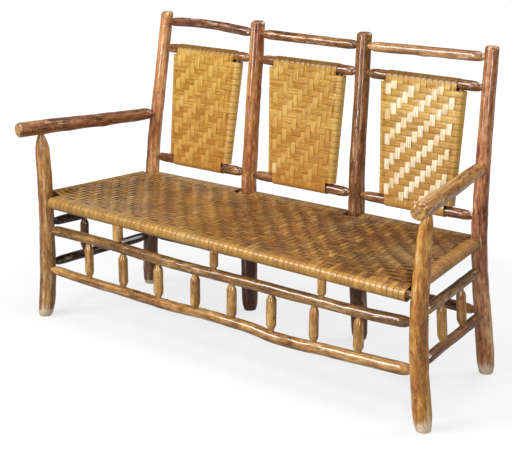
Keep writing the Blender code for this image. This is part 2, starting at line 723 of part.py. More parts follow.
def weave_seat(front, sides, rear):
    """The seat sheet: open at the four corners and round the two inner posts."""
    far_x = []
    for pole, (_, start, end) in zip(rear, rear_bays(SEAT_HEIGHT, SEAT_HEIGHT)):
        for x in (start.point.x + SEAT_REAR_GAP, end.point.x - SEAT_REAR_GAP):
            far_x.append((pole, x))
    left = front_axis(-1, SEAT_FRONT_LEFT_HEIGHT).x + SEAT_FRONT_LEFT_GAP
    right = front_axis(1, SEAT_FRONT_RIGHT_HEIGHT).x - SEAT_FRONT_RIGHT_GAP
    first, last = far_x[0][1], far_x[-1][1]
    columns = []
    for pole, x in far_x:
        near_x = between(left, right, (x - first) / (last - first))
        columns.append((on_pole_at_x(front, near_x).point, on_pole_at_x(pole, x).point))
    depth = (columns[0][1] - columns[0][0]).length
    rows = (SEAT_SIDE_FRONT_GAP / depth, 1 - SEAT_SIDE_REAR_GAP / depth)
    edges = []
    for pole in sides:
        run = (pole.end - pole.start).length
        near = SEAT_SIDE_FRONT_GAP - FRONT_WAIST_DIA / 2 + RAIL_TENON
        back = SEAT_SIDE_REAR_GAP - OUTER_POST_DIA / 2 + RAIL_TENON
        edges.append((axis_point(pole, near / run), axis_point(pole, 1 - back / run)))
    radii = [roll_radius(SEAT_RAIL_DIA)] * 3
    before_posts = (2, 4)
    weave_sheet("woven_seat", columns, rows, edges, radii, UP, SEAT_COLOUR, posts=before_posts)


def stand_on_origin():
    """Hangs every piece on one empty, which sets the feet at Z = 0 and the outline about X = Y = 0."""
    bpy.context.view_layer.update()
    corners = []
    for piece in pieces.values():
        if not piece.hide_render:
            corners += [piece.matrix_world @ vert.co for vert in piece.data.vertices]
    low = Vector(min(corner[k] for corner in corners) for k in range(3))
    high = Vector(max(corner[k] for corner in corners) for k in range(3))
    settee = bpy.data.objects.new("settee", None)
    bpy.context.scene.collection.objects.link(settee)
    settee.location = (-(low.x + high.x) / 2, -(low.y + high.y) / 2, -low.z)
    for piece in pieces.values():
        piece.parent = settee


for old in list(bpy.data.objects):
    bpy.data.objects.remove(old)
build_posts_and_arms()
build_back()
build_seat(build_base())
cut_mortises()
stand_on_origin()
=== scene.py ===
"""A rustic settee of varnished hickory saplings, its seat and back woven from strips of bark.

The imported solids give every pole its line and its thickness. The sections below dress the pieces in
the order in which the settee is put together: posts, arms, rails, stretchers, spindles, weaving.
"""

from math import pi, radians

import bpy
import numpy as np
from mathutils import Matrix, Vector


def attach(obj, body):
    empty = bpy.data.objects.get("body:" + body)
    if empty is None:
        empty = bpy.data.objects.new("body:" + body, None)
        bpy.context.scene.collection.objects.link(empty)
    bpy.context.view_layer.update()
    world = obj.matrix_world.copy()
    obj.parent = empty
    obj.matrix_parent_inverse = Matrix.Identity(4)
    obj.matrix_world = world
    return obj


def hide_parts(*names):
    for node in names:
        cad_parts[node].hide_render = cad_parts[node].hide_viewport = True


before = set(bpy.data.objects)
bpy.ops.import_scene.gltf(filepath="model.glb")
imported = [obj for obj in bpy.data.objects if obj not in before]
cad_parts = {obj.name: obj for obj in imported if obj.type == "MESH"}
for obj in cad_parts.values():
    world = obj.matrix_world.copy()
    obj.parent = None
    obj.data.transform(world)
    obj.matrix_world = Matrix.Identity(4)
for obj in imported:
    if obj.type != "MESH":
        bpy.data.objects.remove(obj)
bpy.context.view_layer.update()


# Rear posts. Four hickory saplings, peeled to the inner bark, steamed to a bend at the seat and
# varnished red brown or amber. Their tops are sawn and rounded over, their feet are whittled in, and the
# floor has scuffed the two outer ones bare. The mortises for all the back's rails are bored in them.

CUT_STEP = 0.004
FAN = np.linspace(0, pi, 12, endpoint=False)
HAIR = 1e-5
END_SLICE = 0.001
END_REACH = 0.075
END_STEP = 0.0025
TIP_SHARES = (0.94, 0.6, 0.25)
SHARP_EDGE = radians(50)
SCUFF_FROM = 0.012
FLAT_SWAY = 0.22
FLAT_NEAR = (0.90, 0.97)
KNOT_SHARE = (0.08, 0.92)
KNOT_SIZE = (0.005, 0.009)
KNOT_SWELL = (0.0010, 0.0022)
GRAIN_SHIFT = 4


def cuts_across(node, upright=False):
    """The long direction of a pole of the frame, and distances, centres and radii along it."""
    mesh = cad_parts[node].data
    mesh.calc_loop_triangles()
    corners = np.array([tuple(corner.co) for corner in mesh.vertices])
    faces = np.array([tuple(face.vertices) for face in mesh.loop_triangles])
    along = np.array((0.0, 0.0, 1.0))
    if not upright:
        points = np.unique(corners.round(5), axis=0)
        spread = np.linalg.svd(points - points.mean(0), full_matrices=False)[2][0]
        along = spread * np.sign(spread[np.abs(spread).argmax()])
        for _ in range(3):
            reach = points @ along
            first = points[reach < reach.min() + END_SLICE].mean(0)
            last = points[reach > reach.max() - END_SLICE].mean(0)
            along = unit(last - first)
    across, over = square_to(along)
    ways = np.outer(np.cos(FAN), across) + np.outer(np.sin(FAN), over)
    reach = corners @ along
    count = int(np.ptp(reach) / CUT_STEP) + 2
    at = np.linspace(reach.min() + HAIR, reach.max() - HAIR, count)
    centres, radii = [], []
    for distance in at:
        height = reach[faces] - distance
        hits = []
        for a, b in ((0, 1), (1, 2), (2, 0)):
            met = height[:, a] * height[:, b] < 0
            share = height[met, a] / (height[met, a] - height[met, b])
            start, end = corners[faces[met, a]], corners[faces[met, b]]
            hits.append(start + share[:, None] * (end - start))
        shadow = np.concatenate(hits) @ ways.T
        most, least = shadow.max(0), shadow.min(0)
        centres.append(along * distance + ((most + least) / 2) @ ways * 2 / len(FAN))
        radii.append(np.median(most - least) / 2)
    return along, at - at[0], np.array(centres), np.array(radii)


def unit(direction):
    """A direction, one metre long."""
    return direction / np.linalg.norm(direction)


def square_to(along):
    """Two directions square to a pole and to each other."""
    aside = np.array((1.0, 0.0, 0.0)) if abs(along[2]) > 0.7 else np.array((0.0, 0.0, 1.0))
    over = unit(np.cross(along, aside))
    return np.cross(over, along), over


def ease(value, low, high):
    """A smooth step from 0 at low to 1 at high."""
    share = np.clip((value - low) / (high - low), 0, 1)
    return share * share * (3 - 2 * share)


def evened(values, reach):
    """Values along a pole, each averaged with its neighbours, with the ends kept."""
    before = 2 * values[:1] - values[1:reach + 1][::-1]
    after = 2 * values[-1:] - values[-reach - 1:-1][::-1]
    padded = np.concatenate([before, values, after])
    summed = np.cumsum(np.concatenate([np.zeros((1, *values.shape[1:])), padded]), axis=0)
    window = 2 * reach + 1
    return (summed[window:] - summed[:-window]) / window


def grown(rng, turn, along):
    """Unevenness of a grown stem, as a share of its radius: waves round it and along it."""
    total = 0
    waves = ((1, 2.5, 0.022), (1, 6, 0.012), (2, 2, 0.022), (2, 8, 0.010), (3, 13, 0.008), (5, 21, 0.004))
    for lobes, per_metre, depth in waves:
        sway = rng.uniform(0, 2 * pi) + 2 * pi * per_metre * rng.uniform(0.7, 1.3) * along
        total = total + depth * np.sin(lobes * turn + rng.uniform(-1, 1) * along * 9) * np.cos(sway)
        total = total + depth * np.cos(lobes * turn) * np.sin(sway)
    return total


def whittled(rng, turn, flats):
    """Outline of a knife-cut end, as a share of its radius: flats of uneven width."""
    faced = (np.arange(flats) + rng.uniform(-FLAT_SWAY, FLAT_SWAY, flats)) * 2 * pi / flats
    depth = rng.uniform(*FLAT_NEAR, flats)
    outline = np.full_like(turn, 1.02)
    for angle, near in zip(faced, depth):
        facing = np.cos(turn - angle)
        outline = np.minimum(outline, near / np.maximum(facing, 0.3))
    return outline


def coned(rings, thick, ends):
    """A stick's radii with straight knife-cut tapers, each as long as its end's given length."""
    full = np.percentile(thick, 85)
    for away, slim, length in ((rings, thick[0], ends[0]), (rings[-1] - rings, thick[-1], ends[1])):
        near = away < rings[-1] / 2
        shoulder = away[(thick > 1.04 * slim) & near].min()
        share = np.clip((away - shoulder) / length, 0, 1) ** 0.8
        thick = np.where(near, slim + (full - slim) * share, thick)
    return thick


def set_mark(mesh, name, values, kind="FLOAT"):
    """Gives each point of a mesh its own value of a mark: a number or a direction."""
    data = mesh.attributes.new(name, kind, "POINT").data
    number = np.int32 if kind == "INT" else np.float32
    data.foreach_set("vector" if kind == "FLOAT_VECTOR" else "value", values.astype(number).ravel())


def band(first, second):
    """Faces between two rings of points."""
    return np.stack([first, np.roll(first, -1), np.roll(second, -1), second], axis=-1).tolist()


def grow_pole(node, seed, upright=False, **habit):
    """A mesh for one of the frame's poles: a stem with knots, whittled ends and closed tips.

    The habit has around (points round it), step (distance between rings), knots, lumps (how uneven it
    is), flats (knife cuts round its ends), cone (lengths of straight tapers at its ends), settled (a
    function that gives how far its line has risen), bare (how far up its foot is scuffed), and sawn_start
    and sawn_end, which say how far its ends show sawn wood.
    """
    rng = np.random.default_rng(seed)
    around = habit.get("around", 28)
    along, at, centres, radii = cuts_across(node, upright)
    across, over = square_to(along)
    length = at[-1]
    step = habit.get("step", 0.006)
    fine = min(END_REACH, length / 3)
    close = np.linspace(0, fine, int(fine / END_STEP) + 1)
    middle = np.linspace(fine, length - fine, int((length - 2 * fine) / step) + 2)[1:-1]
    rings = np.concatenate([close, middle, length - close[::-1]])
    steady = evened(centres, 5) if len(at) > 12 else centres
    line = np.stack([np.interp(rings, at, steady[:, k]) for k in range(3)], axis=1)
    thick = np.interp(rings, at, radii)
    if habit.get("settled"):
        line[:, 2] += habit["settled"](line)
    if habit.get("cone"):
        thick = coned(rings, thick, habit["cone"])
    turn = np.linspace(0, 2 * pi, around, endpoint=False)
    full = evened(np.maximum.accumulate(thick), 8) if upright else np.full_like(thick, np.median(thick))
    slim = thick / np.maximum(full, thick.max() * 0.8)
    body = ease(slim, 0.72, 0.96)[:, None]

    spread = 1 + habit.get("lumps", 1.0) * grown(rng, turn[None, :], rings[:, None]) * body
    flats = habit.get("flats", 8)
    for half, more in ((rings < length / 2, 0), (rings >= length / 2, 1)):
        cut = np.where(half, 1 - ease(slim, 0.90, 1.0), 0)
        cut = np.clip(evened(cut, 3), 0, 1)[:, None]
        outline = whittled(rng, turn, flats + more)[None, :]
        spread = spread * (1 + cut * (outline - 1))
    reach = thick[:, None] * spread
    knot = np.zeros_like(reach)
    for _ in range(habit.get("knots", 3)):
        place = rng.uniform(*KNOT_SHARE) * length
        side = rng.uniform(0, 2 * pi)
        size = rng.uniform(*KNOT_SIZE)
        away = np.abs((turn - side + pi) % (2 * pi) - pi)[None, :] * thick[:, None]
        far = ((rings[:, None] - place) / (1.7 * size)) ** 2 + (away / size) ** 2
        swell = np.exp(-far / 1.6) - 0.55 * np.exp(-far * 5)
        reach = reach + rng.uniform(*KNOT_SWELL) * swell * body
        knot = np.maximum(knot, np.exp(-far * 1.6))

    ways = np.outer(np.cos(turn), across) + np.outer(np.sin(turn), over)
    points = line[:, None, :] + reach[:, :, None] * ways[None, :, :]
    ring_count = len(rings)
    spots = (reach * np.cos(turn), reach * np.sin(turn), rings[:, None])
    grain = np.stack(np.broadcast_arrays(*spots), axis=-1)
    index = np.arange(ring_count * around).reshape(ring_count, around)
    faces = []
    for first, second in zip(index[:-1], index[1:]):
        faces += band(first, second)
    verts = [points.reshape(-1, 3)]
    grains = [grain.reshape(-1, 3)]
    sawn = [np.zeros(index.size)]
    count = index.size
    tips = ((0, -1, habit.get("sawn_start", 0)), (ring_count - 1, 1, habit.get("sawn_end", 0)))
    for ring, way, is_sawn in tips:
        outer = index[ring]
        for share in TIP_SHARES:
            inner = count + np.arange(around)
            verts.append(line[ring] + (points[ring] - line[ring]) * share)
            grains.append(grain[ring] * (share, share, 1))
            sawn.append(np.full(around, float(is_sawn)))
            faces += band(outer, inner) if way > 0 else band(inner, outer)
            outer = inner
            count += around
        faces.append(outer[::way].tolist())
    mesh = bpy.data.meshes.new(node + "_stem")
    mesh.from_pydata(np.concatenate(verts).tolist(), [], faces)
    mesh.shade_smooth()
    mesh.set_sharp_from_angle(angle=SHARP_EDGE)
    pith = np.concatenate(grains)
    extra = np.zeros(count - index.size)
    bare = np.zeros(ring_count)
    if habit.get("bare"):
        bare = 1 - ease(rings, SCUFF_FROM, habit["bare"])
    set_mark(mesh, "grain", pith + rng.uniform(-GRAIN_SHIFT, GRAIN_SHIFT, 3), "FLOAT_VECTOR")
    set_mark(mesh, "pith", pith, "FLOAT_VECTOR")
    set_mark(mesh, "knot", np.concatenate([knot.ravel(), extra]))
    set_mark(mesh, "bare", np.concatenate([np.repeat(bare, around), extra + bare[0]]))
    set_mark(mesh, "sawn", np.concatenate(sawn))
    return mesh


def stood(name, data):
    """A new object, in the scene."""
    thing = bpy.data.objects.new(name, data)
    bpy.context.scene.collection.objects.link(thing)
    return thing


def dress(name, mesh, node):
    """Puts a finished mesh in the place of one of the frame's nodes."""
    piece = stood(name, mesh)
    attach(piece, "root")
    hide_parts(node)


def set_pole(node, seed, wood, slot, **habit):
    """Grows one of the frame's poles in its wood and puts it in its node's place."""
    mesh = grow_pole(node, seed, **habit)
    mesh.materials.append(wood)
    dress(node + "_wood", mesh, node)


def paint(red, green, blue):
    """A colour as a screen shows it, for a shader's socket."""
    linear = [((c / 255 + 0.055) / 1.055) ** 2.4 for c in (red, green, blue)]
    return (*linear, 1)


def wire(tree, kind, sockets, **settings):
    """Adds a node, sets it, and links or fills its sockets, which are known by name or by number."""
    made = tree.nodes.new(kind)
    for key, value in settings.items():
        setattr(made, key, value)
    for key, value in sockets.items():
        if isinstance(value, bpy.types.NodeSocket):
            tree.links.new(value, made.inputs[key])
        else:
            made.inputs[key].default_value = value
    return made


def outlet(tree, kind, sockets, **settings):
    """The first outlet of a node that is wired."""
    return wire(tree, kind, sockets, **settings).outputs[0]


def reckoned(tree, operation, *values):
    """The result of one sum on values."""
    return outlet(tree, "ShaderNodeMath", dict(enumerate(values)), operation=operation)


def times(tree, first, second):
    """One value times another."""
    return reckoned(tree, "MULTIPLY", first, second)


def mixed(tree, *parts):
    """A sum of values, each with its share."""
    total = 0.0
    for value, share in parts:
        total = reckoned(tree, "MULTIPLY_ADD", value, share, total)
    return total


def mark_of(tree, name, kind="Fac"):
    """A mark that the mesh carries, for a material."""
    return wire(tree, "ShaderNodeAttribute", {}, attribute_name=name).outputs[kind]


def whole_place(tree):
    """The place in the whole settee, for a material."""
    return wire(tree, "ShaderNodeTexCoord", {}).outputs["Object"]


def speckle(tree, place, stretch, scale, detail, roughness=0.55):
    """Noise in a place that is stretched first."""
    drawn = outlet(tree, "ShaderNodeVectorMath", {0: place, 1: stretch}, operation="MULTIPLY")
    sockets = {"Vector": drawn, "Scale": scale, "Detail": detail, "Roughness": roughness}
    return wire(tree, "ShaderNodeTexNoise", sockets).outputs["Fac"]


def ranged(tree, value, low, high, to_low=0.0, to_high=1.0):
    """A value between low and high, moved to lie between two others."""
    sockets = {"Value": value, "From Min": low, "From Max": high, "To Min": to_low, "To Max": to_high}
    return outlet(tree, "ShaderNodeMapRange", sockets)


def blended(tree, share, first, second):
    """One colour, or with its share the other."""
    sockets = {0: share, 6: first, 7: second}
    return wire(tree, "ShaderNodeMix", sockets, data_type="RGBA").outputs[2]


def toned(tree, value, stops):
    """A colour for each value, from stops of (value, colour)."""
    made = wire(tree, "ShaderNodeValToRGB", {0: value})
    while len(made.color_ramp.elements) < len(stops):
        made.color_ramp.elements.new(0.5)
    for element, (at, colour) in zip(made.color_ramp.elements, stops):
        element.position = at
        element.color = colour
    return made.outputs[0]


def laid(tree, colour, tone, value, low, high, most=1.0, least=0.0):
    """A colour with a tone over it, more and more as a value goes from low to high."""
    return blended(tree, ranged(tree, value, low, high, least, most), colour, tone)


def new_finish(name, sockets):
    """A new material, its nodes and its shader, with the sockets that are the same all over."""
    material = bpy.data.materials.new(name)
    material.use_nodes = True
    shader = material.node_tree.nodes["Principled BSDF"]
    for key, value in sockets.items():
        shader.inputs[key].default_value = value
    return material, material.node_tree, shader


def surfaced(tree, shader, colour, rough, relief, strength, depth):
    """Links a shader's colour and roughness, and raises its surface by a relief."""
    tree.links.new(colour, shader.inputs["Base Color"])
    tree.links.new(rough, shader.inputs["Roughness"])
    bump = outlet(tree, "ShaderNodeBump", {"Strength": strength, "Distance": depth, "Height": relief})
    tree.links.new(bump, shader.inputs["Normal"])


RING_RATE = 2400.0
RING_PALE = paint(220, 180, 112)
RING_DARK = paint(176, 130, 72)
HEARTWOOD = paint(110, 66, 32)
SAW_STAIN = paint(112, 64, 26)


def end_grain(tree, blotches):
    """Sawn wood: fine rings round a dark heart, with brown blotches."""
    pith = mark_of(tree, "pith", "Vector")
    level = outlet(tree, "ShaderNodeVectorMath", {0: pith, 1: (1, 1, 0)}, operation="MULTIPLY")
    away = wire(tree, "ShaderNodeVectorMath", {0: level}, operation="LENGTH").outputs["Value"]
    wave = reckoned(tree, "SINE", times(tree, away, RING_RATE))
    rings = toned(tree, ranged(tree, wave, -1, 1), ((0.0, RING_DARK), (1.0, RING_PALE)))
    rings = laid(tree, rings, HEARTWOOD, away, 0.001, 0.004, 0.0, least=0.5)
    return laid(tree, rings, SAW_STAIN, blotches, 0.48, 0.58, 0.85)


FLECK = paint(222, 180, 116)
KNOT_BROWN = paint(58, 28, 17)
# Painted shade under the seat: between these heights the posts darken toward this colour.
UNDER_SEAT_SHADE = paint(58, 20, 12)
UNDER_SEAT_SHADE_FROM = 0.44
UNDER_SEAT_SHADE_TO = 0.36
RAW_DARK = paint(224, 190, 146)
RAW_PALE = paint(253, 238, 212)
VARNISH = {"Specular IOR Level": 0.25, "Coat Weight": 1.0, "Coat IOR": 1.5, "Coat Roughness": 0.13}


def varnished(name, dark, main, light, stain=0.55, under_seat_shade=0.0):
    """Peeled hickory under old varnish: mottled, faintly streaked, with stains, flecks and knots.

    Below the seat it is darker by a share: painted shade for the seat's shadow on the legs.
    """
    material, tree, shader = new_finish(name, VARNISH)
    dark, main, light = (paint(*tone) for tone in (dark, main, light))
    place = mark_of(tree, "grain", "Vector")
    streaks = speckle(tree, place, (1, 1, 0.05), 75, 4, 0.6)
    mottle = speckle(tree, place, (1, 1, 0.26), 90, 5, 0.65)
    flecks = speckle(tree, place, (1, 1, 0.34), 290, 2)
    patches = speckle(tree, place, (1, 1, 0.30), 13, 3)
    stains = speckle(tree, place, (1, 1, 0.38), 24, 4, 0.6)
    value = mixed(tree, (mottle, 0.45), (streaks, 0.25), (patches, 0.30))
    colour = toned(tree, value, ((0.395, dark), (0.49, main), (0.585, light)))
    colour = laid(tree, colour, dark, stains, 0.53, 0.70, stain)
    colour = laid(tree, colour, FLECK, flecks, 0.60, 0.72, 0.45)
    colour = laid(tree, colour, dark, flecks, 0.42, 0.30, 0.60)
    colour = laid(tree, colour, KNOT_BROWN, mark_of(tree, "knot"), 0.45, 0.95, 0.85)
    # Painted shade: darker below the seat, by each post's share.
    level = wire(tree, "ShaderNodeSeparateXYZ", {0: whole_place(tree)}).outputs["Z"]
    colour = laid(tree, colour, UNDER_SEAT_SHADE, level, UNDER_SEAT_SHADE_FROM, UNDER_SEAT_SHADE_TO, under_seat_shade)
    colour = blended(tree, times(tree, mark_of(tree, "sawn"), 0.9), colour, end_grain(tree, mottle))
    frayed = mixed(tree, (mark_of(tree, "bare"), 0.8), (streaks, 1.7), (mottle, 1.1))
    worn = ranged(tree, frayed, 1.60, 2.15, 0.0, 0.9)
    raw = toned(tree, flecks, ((0.35, RAW_DARK), (0.6, RAW_PALE)))
    colour = blended(tree, worn, colour, raw)
    rough = mixed(tree, (ranged(tree, mottle, 0.3, 0.7, 0.42, 0.24), 1.0), (worn, 0.35))
    relief = mixed(tree, (mottle, 0.7), (streaks, 0.8), (flecks, 0.25))
    surfaced(tree, shader, colour, rough, relief, 0.30, 0.0012)
    return material


red_brown = varnished("rear_post_varnish", (88, 40, 23), (150, 88, 46), (198, 140, 80), under_seat_shade=0.75)
warm_brown = varnished("left_post_varnish", (102, 52, 30), (184, 120, 72), (224, 170, 112), under_seat_shade=0.75)
amber = varnished("amber_post_varnish", (64, 30, 16), (110, 64, 32), (156, 104, 58), 0.6, under_seat_shade=0.15)
dark_red = varnished("dark_post_varnish", (82, 36, 25), (172, 106, 68), (228, 172, 118), 0.6)
REAR_POSTS = {
    "rear_post_left": warm_brown,
    "rear_post_inner_left": red_brown,
    "rear_post_inner_right": amber,
    "rear_post_right": dark_red,
}
SCUFFED = {"rear_post_left": 0.020, "rear_post_right": 0.050}
post_habit = {"upright": True, "around": 36, "step": 0.005, "knots": 7}
for seed, (node, wood) in enumerate(REAR_POSTS.items(), 11):
    ends = {"flats": 9, "sawn_end": 0.35, "bare": SCUFFED.get(node)}
    set_pole(node, seed, wood, "rear_post_wood", **post_habit, **ends)


# Front posts. Two bowed saplings, lighter and more golden than the rear ones. The head is whittled to
# the shape of a bullet and ends in a tenon in the arm, and the floor has scuffed the foot bare.

tan_brown = varnished("front_post_tan", (104, 62, 32), (160, 112, 62), (204, 156, 96), 0.4)
golden_brown = varnished("front_post_gold", (112, 60, 20), (180, 115, 45), (224, 170, 82), 0.3)
for seed, (side, wood) in enumerate({"left": tan_brown, "right": golden_brown}.items(), 21):
    set_pole("front_post_" + side, seed, wood, "front_post_wood", **post_habit, flats=10, bare=0.058)


# Arms. A thick sapling on each side, sawn square at the front with the edge rounded over, so that the
# end grain shows. The post's tenon comes up into it, and its own whittled tenon goes into the rear post.

arm_red = varnished("left_arm_varnish", (74, 36, 26), (138, 88, 58), (194, 144, 98), 0.65)
arm_gold = varnished("right_arm_varnish", (116, 66, 26), (198, 138, 61), (230, 184, 102), 0.4)
arm_habit = {"around": 36, "step": 0.005, "knots": 4, "flats": 9, "sawn_start": 1}
for seed, (side, wood) in enumerate({"left": arm_red, "right": arm_gold}.items(), 31):
    set_pole("arm_" + side, seed, wood, "arm_wood", **arm_habit)


# Back rails. In each bay a crest rail joins the posts at the top, and a top and a bottom rail carry the
# woven panel. Two rods stand between those two rails. All have whittled tenons, and are varnished.

back_brown = varnished("back_rail_varnish", (62, 29, 17), (114, 67, 34), (162, 112, 62))
dusky_red = varnished("left_crest_varnish", (66, 30, 22), (112, 64, 44), (156, 104, 72))
pale_brown = varnished("right_crest_varnish", (84, 46, 26), (152, 104, 62), (206, 160, 108), 0.45)
CRESTS = {"crest_rail_left": dusky_red, "crest_rail_right": pale_brown}
BAYS = ("left", "middle", "right")
BACK_RAILS = ("crest_rail", "panel_top_rail", "panel_bottom_rail")
rod_habit = {"around": 20, "step": 0.012, "knots": 0, "lumps": 0.4}
for number, bay in enumerate(BAYS):
    for row, kind in enumerate(BACK_RAILS):
        node = f"{kind}_{bay}"
        set_pole(node, 41 + 3 * number + row, CRESTS.get(node, back_brown), "back_rail_wood")
    for hand, side in enumerate(("left", "right")):
        node = f"panel_{bay}_rod_{side}"
        set_pole(node, 51 + 2 * number + hand, back_brown, "back_rail_wood", **rod_habit)


# Seat rails. Saplings that join the posts under the woven seat: one in front, one at each side, and
# three between the rear posts. The weaving hides them, apart from their ends at the posts.

rail_brown = varnished("seat_rail_varnish", (62, 30, 18), (116, 66, 32), (160, 104, 54), 0.6)
rail_habit = {"around": 24, "step": 0.010, "knots": 0, "lumps": 0.4}
SEAT_RAILS = ("front", "left", "right", "rear_left", "rear_middle", "rear_right")
for seed, place in enumerate(SEAT_RAILS, 61):
    set_pole("seat_rail_" + place, seed, rail_brown, "seat_rail_wood", **rail_habit)


# Stretchers. Saplings that tie the legs together: two in front, which carry the spindles, two at each
# side, and three between the rear legs. The lower front one has a crook in it, and the upper one sags.

UPPER_RISE = 0.007
UPPER_DIP = 0.012
LOWER_RISE = 0.007
LOWER_HUMP = 0.006
LOWER_CROOK = 0.005
upper_line = cuts_across("front_stretcher_upper")[2]
lower_line = cuts_across("front_stretcher_lower")[2]


def upper_sag(line):
    """How far the upper front stretcher has risen at each point's place across the settee."""
    share = (line[:, 0] - upper_line[0, 0]) / np.ptp(upper_line[:, 0])
    rise = UPPER_RISE * (1 - ease(share, 0.0, 0.35))
    return rise - UPPER_DIP * ease(share, 0.10, 0.50) * (1 - ease(share, 0.82, 1.04))


def lower_crook(line):
    """How far the lower front stretcher has risen: at its left end and before its crook, not after it."""
    share = (line[:, 0] - lower_line[0, 0]) / np.ptp(lower_line[:, 0])
    rise = LOWER_RISE * (1 - ease(share, 0.0, 0.17))
    hump = LOWER_HUMP * ease(share, 0.38, 0.48) * (1 - ease(share, 0.58, 0.66))
    return rise + hump - LOWER_CROOK * ease(share, 0.60, 0.68) * (1 - ease(share, 0.70, 0.79))


straw_brown = varnished("stretcher_varnish", (92, 54, 26), (166, 116, 61), (210, 163, 98), 0.5)
olive_brown = varnished("olive_varnish", (66, 40, 18), (118, 80, 40), (170, 126, 70), 0.5)
# Painted shade: the left side stretchers and the left and middle rear ones lie in the seat's shadow, so they
# get a near-black varnish.
painted_shade_brown = varnished("painted_shade_stretcher_varnish", (26, 12, 8), (50, 26, 16), (84, 48, 30), 0.6)
STRETCHERS = {
    "front_stretcher_upper": (olive_brown, 7),
    "front_stretcher_lower": (straw_brown, 8),
    "side_stretcher_left_upper": (painted_shade_brown, 2),
    "side_stretcher_left_lower": (painted_shade_brown, 2),
    "side_stretcher_right_upper": (olive_brown, 3),
    "side_stretcher_right_lower": (rail_brown, 3),
    "rear_stretcher_left": (painted_shade_brown, 2),
    "rear_stretcher_middle": (painted_shade_brown, 2),
    "rear_stretcher_right": (rail_brown, 2),
}
LINES = {"front_stretcher_upper": upper_sag, "front_stretcher_lower": lower_crook}
for seed, (node, (wood, knots)) in enumerate(STRETCHERS.items(), 71):
    set_pole(node, seed, wood, "stretcher_wood", knots=knots, settled=LINES.get(node))


# Spindles. Short sticks with knife-cut ends that stand between the stretchers: eight in front, three
# short ones up to the seat, two at each side. Their flats catch the light.

stick_gold = varnished("spindle_varnish", (126, 79, 36), (176, 126, 62), (212, 166, 96), 0.3)
# Painted shade: the left side spindles stand in shade, so they get a darker varnish.
painted_shade_stick = varnished("left_spindle_painted_shade", (56, 28, 16), (104, 62, 34), (150, 100, 58), 0.5)


def follow_sag(line):
    """A spindle's rise: the sagging stretcher's own at the end near it, and none at the other end."""
    away = np.abs(line[:, 2] - np.interp(line[:, 0], upper_line[:, 0], upper_line[:, 2]))
    return upper_sag(line) * (away.max() - away) / np.ptp(away)


LONG_TAPERS = (0.018, 0.018)
SHORT_TAPERS = (0.005, 0.003)
stick_habit = {"step": 0.005, "knots": 1, "flats": 6, "lumps": 0.8}
spindles = [f"front_spindle_{k}" for k in range(1, 9)]
spindles += [f"short_spindle_{k}" for k in range(1, 4)]
spindles += [f"side_spindle_{side}_{k}" for side in ("left", "right") for k in (1, 2)]
for seed, node in enumerate(spindles, 81):
    wood = painted_shade_stick if node.startswith("side_spindle_left") else stick_gold
    tapers = SHORT_TAPERS if node.startswith("short") else LONG_TAPERS
    settled = None if node.startswith("side") else follow_sag
    set_pole(node, seed, wood, "spindle_wood", **stick_habit, cone=tapers, settled=settled)


# Nails. Small iron nails, driven through the posts into the tenons to pin them: from behind for the
# rails and stretchers across the settee, and from outside for those that run from front to back.

NAIL_RADIUS = 0.0027
NAIL_HEIGHT = 0.0011
NAIL_RIM = 0.7
NAIL_OFFSET = 0.35
NAIL_DEPTH = 0.985
BACK = np.array((0.0, 1.0, 0.0))
ASIDE = np.array((1.0, 0.0, 0.0))
POSTS = [*REAR_POSTS, "front_post_left", "front_post_right"]
post_cuts = {node: cuts_across(node, upright=True) for node in POSTS}


def girth_at(post, height):
    """A post's centre and radius at a height."""
    centres, radii = post_cuts[post][2:]
    centre = np.array([np.interp(height, centres[:, 2], centres[:, k]) for k in range(3)])
    return centre, np.interp(height, centres[:, 2], radii)


def new_tree(name, inputs, result):
    """A tree of geometry nodes with named inputs and one result, and the outlets of its inputs."""
    tree = bpy.data.node_groups.new(name, "GeometryNodeTree")
    for label, kind in inputs.items():
        tree.interface.new_socket(label, in_out="INPUT", socket_type="NodeSocket" + kind)
    tree.interface.new_socket(result, in_out="OUTPUT", socket_type="NodeSocketGeometry")
    return tree, tree.nodes.new("NodeGroupInput").outputs


def close_tree(tree, made, finish):
    """Ends a tree: makes its instances real, sets their material, and gives them out."""
    made = outlet(tree, "GeometryNodeRealizeInstances", {"Geometry": made})
    made = outlet(tree, "GeometryNodeSetMaterial", {"Geometry": made, "Material": finish})
    tree.links.new(made, tree.nodes.new("NodeGroupOutput").inputs[0])
    return tree


def carried(tree, name, kind="FLOAT"):
    """A mark that the points carry, for a tree of geometry nodes."""
    return outlet(tree, "GeometryNodeInputNamedAttribute", {"Name": name}, data_type=kind)


def nail_tree():
    """Nodes that set a nail's head on each point, facing the point's own way."""
    inputs = {"Points": "Geometry", "Head radius": "Float", "Head height": "Float", "Iron": "Material"}
    tree, start = new_tree("nail_heads", inputs, "Nails")
    sizes = {"Vertices": 10, "Side Segments": 2, "Radius Top": times(tree, start["Head radius"], NAIL_RIM)}
    sizes |= {"Radius Bottom": start["Head radius"], "Depth": start["Head height"]}
    head = outlet(tree, "GeometryNodeMeshCone", sizes)
    facing = carried(tree, "facing", "FLOAT_VECTOR")
    turned = outlet(tree, "FunctionNodeAlignRotationToVector", {"Vector": facing}, axis="Z")
    placed = {"Points": start["Points"], "Instance": head, "Rotation": turned}
    return close_tree(tree, outlet(tree, "GeometryNodeInstanceOnPoints", placed), start["Iron"])


def nodes_made(name, guide_mesh, tree, inputs):
    """The mesh that a node tree makes of a guide mesh, with its inputs known by their names."""
    guide = stood(name + "_guide", guide_mesh)
    maker = guide.modifiers.new("make", "NODES")
    maker.node_group = tree
    known = {item.name: item.identifier for item in tree.interface.items_tree if item.in_out == "INPUT"}
    for key, value in inputs.items():
        maker[known[key]] = value
    bpy.context.view_layer.update()
    made = bpy.data.meshes.new_from_object(guide.evaluated_get(bpy.context.evaluated_depsgraph_get()))
    bpy.data.objects.remove(guide)
    made.name = name
    return made


